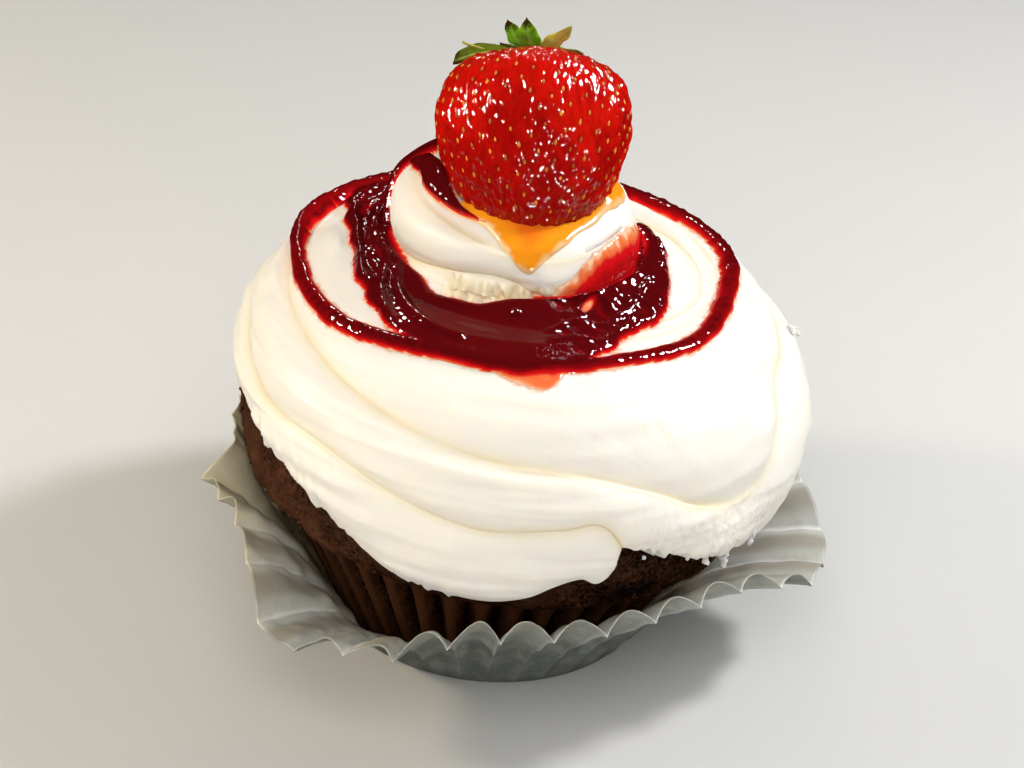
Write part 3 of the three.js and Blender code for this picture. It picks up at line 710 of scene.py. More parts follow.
def swell(across, width, gap):
    """How far a turn of the rope stands out of the mound: full in its middle, none at its two
    creases, and less where the turn is narrow. Within half a millimetre of a crease, by the gap
    to it, the icing has flowed together and fills it a little."""
    rope = ROPE_RISE * ease(width / 0.1) * (1 - np.abs(2 * across - 1) ** 2.3).clip(0) ** 0.75
    return rope + 0.3 * np.exp(-(gap / 0.5) ** 2)


def icing_swell(azimuth, share):
    """The same at an azimuth and a share of the mound, on whichever turn lies there, less what the
    berry pressed down."""
    piped = np.mod(PIPING_START - azimuth, TURN)
    for _ in range(PIPING_TURNS - 1):
        piped = np.where(crease(piped) < share, piped + TURN, piped)
    piped = np.minimum(piped, TURN * PIPING_TURNS)
    foot, head = rope_foot(piped), crease(piped)
    across = np.clip((share - foot) / np.maximum(head - foot, 1e-6), 0, 1)
    gap = np.minimum(arc(share) - arc(foot), arc(head) - arc(share)).clip(0)
    return swell(across, head - foot, gap) - berry_press(azimuth, share)


_profile = np.linspace(-0.1, 1, 2201)
_steps = np.hypot(np.diff(mound_radius(_profile)), np.diff(mound_height(_profile)))
_arcs = np.concatenate([[0], np.cumsum(_steps)])


def arc(share):
    """Length in mm up the mound's profile to a share."""
    return np.interp(share, _profile, _arcs)


def share_at_arc(up):
    """The share at a length in mm up the profile."""
    return np.interp(up, _arcs, _profile)


# the berry's outline: share of its length from its tip, and radius against its widest
berry_profile = curve([
    [0, 0], [0.02, 0.2], [0.08, 0.42], [0.2, 0.66], [0.35, 0.84], [0.5, 0.95], [0.65, 1],
    [0.8, 0.97], [0.9, 0.86], [0.96, 0.68], [1, 0.4],
])


def placed(local):
    """From the berry's own frame, leaves up, to its place on the icing."""
    return local @ BERRY_TURN.T + BERRY_CENTRE


def clear_of_berry(points, size):
    """Moves the points that lie inside the berry, at a size against its own, straight out from
    its middle to its skin, which leaves the hollow that it pressed."""
    local = (points - BERRY_CENTRE) @ BERRY_TURN
    shares = np.linspace(0, 1, 200)
    rim = np.stack([BERRY_RADIUS * berry_profile(shares), (shares - BERRY_MIDDLE) * BERRY_LENGTH])
    bearing = np.arctan2(rim[0], rim[1])[::-1]
    reach = np.hypot(rim[0], rim[1])[::-1]
    away = np.linalg.norm(local, axis=-1)
    angle = np.arctan2(np.hypot(local[..., 0], local[..., 1]), local[..., 2])
    skin = np.interp(angle, bearing, reach) * size
    scale = np.where(away < skin, skin / np.maximum(away, 1e-6), 1)
    return placed(local * scale[..., None])


def torn_edge(piped, teeth):
    """How far the free edge strays, as a share of the mound: drawn-out teeth about 2.5 mm apart
    at the left, and a rough scraped edge at the front right."""
    along = piped[..., None] * DEG * ICING_FOOT
    pull = (1 - np.abs(waves(along, 4.6, 41))).clip(0, 1) ** 2
    left = between(piped, 20, 12, 165, 30)
    right = between(piped, 322, 10, 359.5, 3)
    fine = 0.5 * waves(along, 1.6, 42) + 0.7 * waves(along, 4, 39)
    left = left * ease(0.6 + 0.6 * waves(along, 13, 40))
    whole = between(piped, 0, 4, TURN, 4)
    return -whole * teeth / 60 * (2 * pull * left + (0.3 * left + 0.7 * right) * fine)


def scraped(azimuth, share, points):
    """Where the icing was torn instead of piped: how strongly the strands in the gap under the
    front of the dollop and the crumbly scraped patch at the front right show, and the relief of
    both and of the lower edge, which was drawn down."""
    at, up = azimuth % TURN, arc(share)
    strands = between(at, 237, 10, 299, 10) * between(share, 0.695, 0.01, 0.79, 0.02)
    upright = plane(azimuth * DEG * GAP_RADIUS + 0.35 * up, up / 3)
    patch = ease((0.25 - share) / 0.09) * between(at, 290, 8, 334, 8)
    lumps = 0.4 * waves(points * [1, 1, 0.6], 1.9, 47) + 0.6 * waves(points * [1, 1, 0.6], 1.0, 48)
    drawn = between(at, 178, 10, 240, 12) * ease((0.3 - share) / 0.1)
    drags = waves(plane(at * DEG * ICING_FOOT + up * 0.9, up / 9), 1.5, 50)
    frayed = waves(upright, 1.5, 49) + 0.5 * waves(upright, 0.6, 51)
    relief = strands * 0.26 * frayed + patch * 0.16 * lumps + drawn * 0.17 * drags
    return strands, patch, relief


def icing_mesh(wave, teeth):
    """One long grid, degrees piped by the way across the rope. A turn's top row is the row that
    the next turn starts on. Waves that run along the rope, and soft ones over all, die out at
    the creases. Below, rows over the crown close the body; above, a ring and a point do."""
    columns, rows = 540, 28
    piped = np.arange(columns * PIPING_TURNS + 1) * TURN / columns
    across = (1 - np.cos(np.linspace(0, np.pi, rows + 1)[:, None])) / 2
    across = mix(np.linspace(0, 1, rows + 1)[:, None], across, 0.45)
    foot, head = rope_foot(piped), crease(piped)
    foot = foot + np.where(piped < TURN, torn_edge(piped, teeth), 0)
    azimuth = PIPING_START - piped
    share = mix(foot, head, across)
    base = mound_point(azimuth, share)
    middle = (1 - np.abs(2 * across - 1) ** 4) * ease((head - foot) / 0.05)
    flow = plane(piped * DEG * ROPE_MIDDLE / 9, arc(share))
    streaks = 0.4 * waves(flow, 3.2, 43) + 0.2 * waves(flow, 1.2, 44)
    uneven = 0.6 * waves(base, 14, 45) + 0.2 * waves(base, 4.5, 46)
    sauce = sauce_edge(azimuth, share)
    calm = (1 - ease((sauce + 1.6) / 1.2)) * mix(1, 0.3, ease((share - 0.72) / 0.04))
    gap = np.minimum(arc(share) - arc(foot), arc(head) - arc(share)).clip(0)
    lift = swell(across, head - foot, gap) + middle * calm * wave * (streaks + uneven)
    strands, patch, relief = scraped(azimuth, share, base)
    lift += relief - berry_press(azimuth, share)
    body = clear_of_berry(off_mound(azimuth, share, lift), BERRY_SEAT)

    ids = np.arange(body[..., 0].size).reshape(share.shape)
    for turn in range(1, PIPING_TURNS):
        here = slice(turn * columns, (turn + 1) * columns + 1)
        below = slice((turn - 1) * columns, turn * columns + 1)
        ids[-1, below] = ids[0, here]
    ids[:, 0] = ids[0, columns]
    ids[-1, -1] = ids[-1, (PIPING_TURNS - 1) * columns]
    ids[:, -1] = ids[-1, -1]
    first = slice(0, columns)
    meets = crown_share_at(azimuth[first], body[0, first, 2] - 0.5)
    bed_share = mix(0.97, meets, np.linspace(0, 1, 9)[:, None] ** 0.6)
    bed = crown_point(azimuth[first], bed_share, -0.3)
    above_last = slice((PIPING_TURNS - 1) * columns, PIPING_TURNS * columns)
    cap_share = mix(head[above_last], 0.985, np.linspace(0, 1, 9)[1:, None])
    cap = off_mound(azimuth[first], cap_share, -berry_press(azimuth[first], cap_share))
    cap = clear_of_berry(cap, BERRY_SEAT)
    middles = np.array([[0, 0, 44.5], placed(np.array([0, 0, -14.0]))])
    start = body[..., 0].size
    bed_ids = start + np.arange(bed[..., 0].size).reshape(bed_share.shape)
    cap_ids = bed_ids[-1, -1] + 1 + np.arange(cap_share.size).reshape(cap_share.shape)
    bottom = np.full((1, columns), cap_ids[-1, -1] + 1)
    below = np.concatenate([bottom, bed_ids, ids[:1, first]])
    below[-1, 0] = ids[0, columns]
    above = np.concatenate([ids[-1:, above_last], cap_ids, bottom + 1])
    points = np.concatenate([part.reshape(-1, 3) for part in (body, bed, cap, middles)])
    faces = np.concatenate([grid_faces(ids, flip=True), grid_faces(below, True, True),
                            grid_faces(above, True, True)])
    spare = len(points) - body[..., 0].size
    # the fold mark: painted shade along the creases and in the torn gap under the dollop
    fold = np.exp(-(gap / 0.7) ** 1.2) * ease((head - foot) / 0.06)
    fold *= np.where((piped < TURN) & (across < 0.5), 0, 1)
    fold = np.maximum(fold, 1.4 * strands)
    sauce = np.maximum(sauce, mix(-3, -0.7, strands))
    torn = np.maximum(patch, 0.4 * strands)
    marks = {name: np.append(values.ravel(), np.full(spare, beyond)) for name, values, beyond in
             (("fold", fold, 0), ("torn", torn, 0), ("sauce_edge", sauce, NO_SAUCE))}
    return make_mesh("icing", *drop_spare(points, faces, marks))


def buttercream(colours):
    """Whipped buttercream, piped: warm ivory fat and sugar, satin where the nozzle smoothed it,
    with painted shade, a deeper yellow, in its folds and in the torn gap under the dollop, grainy
    where it was torn, and stained where the sauce bled in."""
    material, add, place, fold, sauce, torn = new_material(
        "buttercream", "fold", "sauce_edge", "torn")
    cloud = add("TexNoise", place, per(9), 2)
    pores = add("TexNoise", place, per(0.5), 3, 0.6)
    # painted shade: the fold mark darkens the creases and the torn gap to a deeper yellow
    deep = add("Math", fold, add("MapRange", cloud, 0.3, 0.7, 0.55, 1))
    ragged = add("MapRange", add("TexNoise", place, per(1.4), 3), 0.2, 0.8, -0.3, 0.3)
    bled = add("Math", sauce, ragged, operation="ADD")
    colour = tinted(add, add("Mix", deep, colours.icing, colours.icing_fold_shade),
                    (colours.stain, bled, -0.6, 0.1, 0, 0.8))
    height = add("Math", pores, add("MapRange", torn, 0, 1, 0.3, 1.8))
    return finish_material(material, add, colour, add("MapRange", cloud, 0.3, 0.7, 0.42, 0.52),
                           (height, 0.12, 1), IOR=1.46, Subsurface_Weight=0.6,
                           Subsurface_Radius=(1, 0.85, 0.6), Subsurface_Scale=1.6 * MM,
                           Specular_IOR_Level=0.06)


# ---------------------------------------------------------------- berry sauce

# by azimuth: where the ring lies on the mound, its height and half its width in mm, and then
# where the other parts of the sauce lie
ring_share = loop([
    [0, 0.565], [25, 0.53], [60, 0.53], [90, 0.53], [150, 0.53], [176, 0.54], [200, 0.549],
    [215, 0.546], [230, 0.554], [242, 0.568], [290, 0.578], [304, 0.578], [322, 0.567],
])
ring_rise = loop([
    [0, 0.9], [20, 1.2], [60, 1.7], [110, 1.6], [148, 2.4], [172, 2.6], [188, 1.2], [200, 1],
    [240, 0.95], [290, 0.9], [335, 0.9],
])
ring_width = loop([
    [0, 1.2], [60, 1.4], [120, 1.4], [165, 1.3], [200, 1.15], [250, 1.2], [300, 1.1],
])
trail_share = curve([[104, 0.93], [130, 0.92], [150, 0.89], [165, 0.84], [180, 0.75]])
pool_outer = curve([
    [140, 0.54], [152, 0.575], [167, 0.62], [178, 0.639], [200, 0.643], [215, 0.624],
    [228, 0.605], [236, 0.59], [244, 0.578], [292, 0.587], [299, 0.609], [310, 0.627],
    [330, 0.637], [342, 0.652], [360, 0.662], [392, 0.655],
])
pool_inner = curve([
    [140, 0.66], [170, 0.735], [212, 0.75], [222, 0.728], [232, 0.706], [242, 0.7], [256, 0.701],
    [264, 0.708], [272, 0.722], [287, 0.75], [300, 0.755], [316, 0.742], [332, 0.73], [350, 0.715],
    [365, 0.705], [392, 0.69],
])
shoulder_top = curve([[292, 0.775], [299, 0.8], [311, 0.835], [328, 0.853], [342, 0.848],
                      [357, 0.83], [375, 0.78], [392, 0.72]])
drip_low = curve([[262, 0.6], [267, 0.557], [272, 0.54], [279, 0.53], [283, 0.552], [288, 0.6]])
blob_share = curve([[168, 0.905], [185, 0.925], [202, 0.925], [232, 0.918], [256, 0.91]])
# how deep the ring's colour is, against its thickness: clearer at the sides and the back
ring_depth = loop([[0, 0.8], [60, 0.6], [120, 0.6], [150, 0.32], [176, 0.36], [190, 0.65],
                   [225, 0.95], [290, 0.95], [330, 0.9]])


def bead(inside, width, rise):
    """Height of a bead of liquid at a distance inside its edge: round at the edge, level past
    its width, and dropping under the icing outside it."""
    part = np.clip(inside / width, 0, 1)
    return np.where(inside > 0, rise * np.sqrt(1 - (1 - part) ** 2), inside)


def from_left(azimuth):
    """Azimuths counted on from the left arm of the pool, 110 to 470."""
    return np.mod(azimuth - 110, TURN) + 110


def along_line(azimuth, share, places):
    """Distance in mm, over the mound, to a line through places on it."""
    places = np.array(places, float)
    run = np.arange(len(places))
    fine = np.linspace(0, len(places) - 1, 14 * (len(places) - 1) + 1)
    line = mound_point(curve(np.stack([run, places[:, 0]], 1))(fine),
                       curve(np.stack([run, places[:, 1]], 1))(fine))
    return distance(mound_point(azimuth, share), line)


def ends(azimuth, first, last, radius):
    """Distance in mm inside the nearer end of a stretch round the mound, less than nothing
    outside it."""
    return np.minimum(azimuth - first, last - azimuth) * DEG * radius


def edge_stray(azimuth, share):
    """How far a poured edge strays from its line, in mm."""
    points = mound_point(azimuth, share)
    return 0.25 * waves(points, 5, 51) + 0.03 * waves(points, 1.8, 52)


def sauce_parts(azimuth, share):
    """Distances inside the edge of each part of the sauce, in mm, and its height there."""
    turned = from_left(azimuth)
    up = arc(share)
    stray = edge_stray(azimuth, share)
    ring = ring_width(azimuth) + 0.3 * stray - np.abs(up - arc(ring_share(azimuth)))
    pool = np.minimum(up - arc(pool_outer(turned)), arc(pool_inner(turned)) - up)
    past = (1.5 - ends(turned, 140, 392, POOL_RADIUS)).clip(0)
    pool = 3 - np.hypot((3 - pool - stray).clip(0), past)
    along, over = (turned - 305) * DEG * 21, up - arc(0.7)
    away = np.hypot((along + 0.5 * over) / 2.9, (over - 0.5 * along) / 1.2)
    thin_spot = 1 - ease((away - 0.4) / 0.6)
    trail = 1.4 + 0.4 * stray - np.abs(up - arc(trail_share(np.clip(turned, 104, 180))))
    trail = np.where((turned > 112) & (turned < 181), trail, -3)
    streaks = waves(plane(turned * DEG * SHOULDER_RADIUS, up / 6), 1.3, 54)
    shoulder = np.minimum(arc(shoulder_top(turned)) - up + 0.06 * streaks,
                          up - arc(pool_inner(turned)) + 2)
    shoulder = np.minimum(shoulder, ends(turned, 293, 388, SHOULDER_RADIUS)) + 0.5 * stray
    stain = 0.02 + 0.42 * ease(shoulder / 4) + 0.012 * streaks
    drip = np.minimum(up - arc(drip_low(turned)), arc(0.6) - up)
    drip = np.minimum(drip, ends(turned, 262, 288, DRIP_RADIUS)) + 0.4 * stray
    blob = 1.7 * ease((258 - turned) / 60) - np.abs(up - arc(blob_share(turned)))
    blob = np.minimum(blob, ends(turned, 168, 256, BLOB_RADIUS))
    return [
        (ring, bead(ring, 1.3, ring_rise(azimuth))),
        (pool, bead(pool, 1.4, POOL_RISE) * (1 - 0.97 * thin_spot)),
        (trail, bead(trail, 1.4, 1.4)),
        (shoulder, np.where(shoulder > 0, stain, shoulder)),
        (drip, bead(drip, 1.2, 0.1)),
        (blob, bead(blob, 1.4, 1.3)),
    ]


def sauce_edge(azimuth, share):
    """Distance inside the sauce's edge, less than nothing outside it, in mm."""
    return np.max([inside for inside, height in sauce_parts(azimuth, share)], axis=0)


def over_icing(azimuth, up, height, blur):
    """Points of a film on the icing: the icing's own swell, evened out over its creases by
    averaging with the neighbours, and much more where the film is thick, plus the film's height,
    along the mound's normal."""
    share = share_at_arc(up)
    evened = [icing_swell(azimuth, share)]
    for times in (blur, 50):
        rise = evened[-1]
        for _ in range(times):
            rise = (2 * rise + np.roll(rise, 1, 1) + np.roll(rise, -1, 1)) / 4
            rise = (2 * rise + np.concatenate([rise[:1], rise[:-1]])
                    + np.concatenate([rise[1:], rise[-1:]])) / 4
        evened.append(rise)
    lift = mix(evened[1], evened[2], ease((height - 0.4) / 0.6)) + height
    return off_mound(azimuth, share, lift)


def film_mesh(name, azimuth, up, height, deepest, marks, blur, closed=True):
    """A film of liquid on the icing, closed below: its upper face follows `height`, its lower
    face lies `deepest` under the icing, and both end where the film has dived under it."""
    upper = clear_of_berry(over_icing(azimuth, up, height, blur), BERRY_SEAT)
    lower = clear_of_berry(over_icing(azimuth, up, np.full_like(height, -deepest), blur), 0.97)
    count = height.size
    faces = grid_faces(np.arange(count).reshape(height.shape), closed)
    faces = faces[(height.ravel()[faces] > DIVE).any(axis=1)]
    edges = np.concatenate([faces[:, [k, (k + 1) % 4]] for k in range(4)])
    code = edges[:, 0] * count + edges[:, 1]
    back = edges[:, 1] * count + edges[:, 0]
    rim = edges[~np.isin(code, back)]
    wall = np.stack([rim[:, 1], rim[:, 0], rim[:, 0] + count, rim[:, 1] + count], axis=1)
    whole = np.concatenate([faces, faces[:, ::-1] + count, wall])
    points = np.concatenate([upper.reshape(-1, 3), lower.reshape(-1, 3)])
    doubled = {mark_name: np.tile(np.ravel(values), 2) for mark_name, values in marks.items()}
    return make_mesh(name, *drop_spare(points, whole, doubled))


WRINKLES = [
    # places on the mound that a raised fold of skin runs through, its half width and height
    ([[158, 0.676], [182, 0.70], [205, 0.703], [222, 0.643], [235, 0.597]], 0.7, 0.7),
    ([[186, 0.80], [201, 0.77], [217, 0.70], [233, 0.645], [246, 0.619], [256, 0.611]], 0.7, 0.8),
    ([[150, 0.6], [178, 0.657], [202, 0.652], [223, 0.61], [238, 0.59]], 0.6, 0.5),
    ([[284, 0.652], [294, 0.667], [303, 0.655], [309, 0.642]], 0.45, 0.4),
    ([[283, 0.63], [290, 0.635], [298, 0.625], [306, 0.63], [316, 0.65]], 0.45, 0.45),
    ([[309, 0.66], [319, 0.665], [331, 0.685], [343, 0.69]], 0.45, 0.45),
    ([[5, 0.9], [2, 0.825], [12, 0.72], [355, 0.68], [343, 0.656]], 0.55, 0.6),
]


def sauce_height(azimuth, share, wrinkle):
    """The parts of the sauce run together where they meet, by a soft maximum. Folds of its skin
    follow given lines. Fine wrinkles run along the left arm, crumple the right of the pool, and
    bead the ring's crest; the front of the pool is smooth. Also gives the marks for the material:
    how deep the colour is, and where the skin ripples."""
    parts = sauce_parts(azimuth, share)
    inside = np.max([part for part, _ in parts], axis=0)
    heights = np.stack([rise for _, rise in parts])
    plain = heights.max(axis=0)
    soft = 0.3 * np.log(np.exp((heights - plain) / 0.3).sum(axis=0))
    height = plain + soft * ease(inside / 1.2)
    for places, half, rise in WRINKLES:
        part = np.clip(1 - along_line(azimuth, share, places) / half / 1.6, 0, 1)
        height = height + ease(inside / 1.6) * rise * ease(part)
    points = mound_point(azimuth, share)
    turned = from_left(azimuth)
    thick = ease((height - 0.4) / 0.5)
    in_pool = ease(parts[1][0] / 1.5)
    flow = plane(turned * DEG * 26 / 5, arc(share))
    arm = ease((236 - turned) / 25) * ease(parts[1][0] / 2.5)
    arm = arm * (waves(flow, 2.1, 61) + 0.25 * waves(flow * [2.5, 1], 0.9, 62))
    right = 0.9 * waves(points, 3.0, 63) + 0.2 * waves(points, 1.5, 64)
    right = right * between(turned, 284, 8, 352, 16)
    beads = ease(parts[0][0] / 0.6) * (1 - in_pool) * 0.4 * waves(points, 1.3, 65)
    height = height + ease(inside / 0.8) * thick * wrinkle * (in_pool * (arm + right) + beads)
    on_ring = ease(parts[0][0] / 0.3) * (1 - ease(parts[1][0] / 0.8))
    depth = np.where(inside > 0, height, 0) * mix(1, ring_depth(azimuth), on_ring)
    calm = in_pool * between(turned, 232, 20, 298, 14)
    return height, {"depth": np.clip(depth, 0, 3), "ripple": 1 - calm}


def sauce_mesh(wrinkle):
    """The ring, pool, trail, shoulder, drip and blob as one film over the top of the icing."""
    azimuth = np.arange(640) * TURN / 640
    up = np.arange(arc(0.495), arc(0.97), FILM_STEP)[:, None]
    azimuth, up = np.broadcast_arrays(azimuth, up)
    height, marks = sauce_height(azimuth, share_at_arc(up), wrinkle)
    return film_mesh("berry_sauce", azimuth, up, height + FILM, 0.6, marks, 3)


def berry_sauce(colours):
    """Strained berry sauce, set to a skin: wet and glassy, clear bright red where the icing
    shines through its thin edge, and almost black-red where it is over a millimetre deep."""
    material, add, place, thick, ripple = new_material("berry_sauce", "depth", "ripple")
    uneven = add("MapRange", add("TexNoise", place, per(2.5), 3), 0.2, 0.8, -0.04, 0.04)
    depth = add("Math", thick, uneven, operation="ADD")
    colour = tinted(add, srgb("#f8c8a0"), ("#ee7844", depth, 0, 0.08),
                    (colours.sauce_thin, depth, 0.07, 0.22), ("#8c0a0e", depth, 0.25, 0.6),
                    (colours.sauce, depth, 0.5, 0.95))
    skin = add("Math", add("TexNoise", place, per(0.8), 0), ripple)
    return finish_material(material, add, colour, 0.3, (skin, 0.2, 0.6), IOR=1.38,
                           Coat_Weight=0.45, Coat_Roughness=0.04, Coat_IOR=1.35,
                           Specular_IOR_Level=0, Subsurface_Weight=0.1,
                           Subsurface_Radius=(1, 0.1, 0.08), Subsurface_Scale=0.6 * MM)


# ---------------------------------------------------------------- syrup under the berry

syrup_low = curve([[228, 0.925], [234, 0.915], [246, 0.908], [261, 0.882], [269, 0.85],
                   [275, 0.822], [279, 0.815], [283, 0.828], [288, 0.845], [300, 0.875],
                   [318, 0.895], [332, 0.905], [348, 0.9], [364, 0.893], [372, 0.92]])


def syrup_mesh():
    """Juice that ran out under the berry: a thin film between its skin and a low edge that
    falls to a point at the front."""
    azimuth = np.linspace(222, 378, 220)
    up = np.arange(arc(0.8), arc(0.965), FILM_STEP)[:, None]
    azimuth, up = np.broadcast_arrays(azimuth, up)
    share = share_at_arc(up)
    inside = np.minimum(azimuth - 226, 374 - azimuth) * 0.25
    inside = np.minimum(up - arc(syrup_low(azimuth)), inside) + 0.5 * edge_stray(azimuth, share)
    height = bead(inside, 2.6, 0.4)
    depth = np.clip(inside / 6, 0, 1)
    return film_mesh("syrup", azimuth, up, height + 0.05, 0.5, {"depth": depth}, 2, False)


def berry_syrup(colours):
    """Clear orange juice mixed with glaze: wet, peach at its edge, then amber, and redder
    towards the berry."""
    material, add, place, thick = new_material("berry_syrup", "depth")
    uneven = add("MapRange", add("TexNoise", place, per(2), 2), 0.2, 0.8, -0.08, 0.08)
    depth = add("Math", thick, uneven, operation="ADD")
    colour = tinted(add, srgb("#f8c890"), (colours.syrup, depth, 0, 0.18),
                    ("#e0561a", depth, 0.3, 1, 0, 0.7))
    swell = add("TexNoise", place, per(1.5))
    return finish_material(material, add, colour, 0.15, (swell, 0.15, 0.4), IOR=1.38,
                           Coat_Weight=0.3, Coat_Roughness=0.05, Specular_IOR_Level=0,
                           Subsurface_Weight=0.3, Subsurface_Radius=(1, 0.5, 0.15),
                           Subsurface_Scale=1 * MM)


# ---------------------------------------------------------------- strawberry

def seed_places(count):
    """Shares and rounds of the seeds: equal areas of skin apart along the berry, and a golden
    angle apart round it."""
    shares = np.linspace(0, 1, 400)
    radius = BERRY_RADIUS * berry_profile(shares)
    step = np.hypot(np.diff(radius), np.diff(shares) * BERRY_LENGTH)
    area = np.concatenate([[0], np.cumsum(step * (radius[1:] + radius[:-1]))])
    part = (np.arange(count) + 0.6) / (count + 6)
    draw = np.random.default_rng(71)
    share = np.interp(part * area[-1], area, shares) + draw.normal(0, 0.004, count)
    return share, np.arange(count) * GOLDEN_ANGLE + draw.normal(0, 1.2, count)


def berry_point(turn, share):
    """The berry's plain skin in its own frame: its outline turned round, a little uneven."""
    radius = BERRY_RADIUS * berry_profile(share)
    point = polar(turn, radius, (share - BERRY_MIDDLE) * BERRY_LENGTH)
    return point * (1 + 0.008 * waves(point, 16, 72))[..., None]


def berry_mesh(dimple, seeds):
    """Rows of skin from the tip to the hollow under the leaves. Each seed presses a round dimple
    with a raised lip, and the glaze lies over the skin in fine ripples that run lengthwise."""
    columns = 420
    turn = np.arange(columns) * TURN / columns
    share = np.concatenate([[0.002, 0.006, 0.012], np.linspace(0.02, 0.995, 190), [1]])[:, None]
    plain = berry_point(turn, share)
    out = unit(plain * [1, 1, 0.6])
    dip = np.exp(-(distance(plain, berry_point(seeds[1], seeds[0])) / 0.55) ** 2)
    glaze = waves(plain * [1, 1, 0.35], 1.5, 73) + 0.55 * waves(plain * [1, 1, 0.25], 0.85, 74)
    lift = -dimple * dip + 0.075 * glaze * (1 - 0.6 * dip) + 0.1 * waves(plain, 7, 75)
    skin = plain + out * (lift * ease(share / 0.02))[..., None]
    middles = [(0, 0, (at - BERRY_MIDDLE) * BERRY_LENGTH) for at in (0, 0.94)]
    points = placed(np.concatenate([skin.reshape(-1, 3), middles]))
    # the dip mark brings painted shade to the dimples, and the height mark, the share along the
    # berry, brings it to the lower part
    shade = np.broadcast_to(share, dip.shape)
    marks = {"dip": np.append(dip.ravel(), [0, 0]), "height": np.append(shade.ravel(), [0, 1])}
    return make_mesh("strawberry", points, ring_faces(*dip.shape), marks)


def seeds_mesh(size, seeds, dimple):
    """Every seed is a small teardrop, pointed towards the leaves, that lies in its dimple."""
    columns, rows = 8, 5
    turn = np.arange(columns) * TURN / columns
    along = np.linspace(0.1, 0.92, rows)[:, None]
    girth = 0.25 * np.sin(np.pi * along ** 0.75)
    drop = polar(turn, girth, along - 0.5).reshape(-1, 3) * [1, 0.7, 1]
    drop = np.concatenate([drop, [[0, 0, -0.5], [0, 0, 0.5]]])
    share, around = seeds
    spot = berry_point(around, share)
    ahead = unit(berry_point(around, share + 0.01) - spot)
    side = unit(np.cross(ahead, unit(spot * [1, 1, 0.6])))
    out = np.cross(side, ahead)
    draw = np.random.default_rng(76)
    scale = size * draw.uniform(0.85, 1.15, (len(spot), 1, 1))
    axes = np.stack([side, out, ahead], axis=1)
    points = (drop * scale) @ axes + (spot - out * dimple * 0.6)[:, None]
    return grains_mesh("seeds", placed(points), rows, columns)


def strawberry_skin(colours):
    """Ripe strawberry under a wet glaze: deep clear red flesh that light sinks into, with painted
    shade in the dimples and on the lower part towards the tip, duller near the leaves, with a hard
    glossy coat over it. The glaze's fine ripples run lengthwise, along the berry's lean."""
    material, add, place, dip, height = new_material("strawberry_skin", "dip", "height")
    blotch = add("TexNoise", place, per(8), 2)
    colour = tinted(add, colours.berry, (colours.berry_dark, blotch, 0.4, 0.65),
                    # painted shade in the dimples
                    ("#8a1408", dip, 0.1, 1, 0, 0.35), ("#a8281a", height, 0.82, 1, 0, 0.6),
                    # painted shade on the lower part, towards the tip
                    ("#7c0a0c", height, 0.1, 0.45, 0.6, 0))
    lengthwise = add("Mapping", place, Rotation=(-BERRY_LEAN * DEG, 0, 0), Scale=(1, 1, 2.2),
                     vector_type="TEXTURE")
    ripples = add("TexNoise", lengthwise, per(0.64), 0)
    return finish_material(material, add, colour, 0.35, (ripples, 0.36, 1), IOR=1.35,
                           Coat_Weight=0.8, Coat_Roughness=0.03, Coat_IOR=1.4,
                           Specular_IOR_Level=0, Subsurface_Weight=0.2,
                           Subsurface_Radius=(1, 0.08, 0.04), Subsurface_Scale=1.5 * MM)


def strawberry_seed(colours):
    """Dry golden achene: a hard ribbed seed, orange-brown, with a dull shine from the glaze."""
    material, add, place = new_material("strawberry_seed")
    tone = add("TexNoise", place, per(2.5), 1)
    colour = tinted(add, colours.seed, ("#a85a18", tone, 0.35, 0.65))
    ribs = add("TexNoise", place, per(0.25))
    return finish_material(material, add, colour, 0.4, (ribs, 0.05, 0.5), IOR=1.45,
                           Specular_IOR_Level=0.1)


# ---------------------------------------------------------------- leaves

SEPALS = [
    # round the berry, reach, half width, how far the tip curls up, how far one edge is lifted,
    # how blunt the tip is, how dry it is
    (24, 7.8, 2.0, 0.4, 0.1, 2.2, 0.3), (62, 8, 2.1, 0.3, 0, 2.2, 0.3),
    (104, 8, 2.1, 0.3, 0, 2.2, 0.2), (144, 8.2, 2.0, 0.3, -0.2, 2.2, 0.5),
    (180, 10.2, 0.5, 1.5, 0, 2.0, 1.0), (188, 11.5, 2.1, -2.1, -0.6, 16.0, 0.45),
    (218, 6.0, 1.6, 0.3, -0.3, 3.0, 0.5), (237, 6.4, 1.85, 3.3, 0, 2.6, 0.0),
    (265, 6.4, 1.6, 3.4, 0, 2.6, 0.0), (307, 9.4, 1.35, 1.8, -0.3, 2.4, 0.95),
    (352, 7.0, 1.6, -0.3, 0, 2.2, 0.7),
]


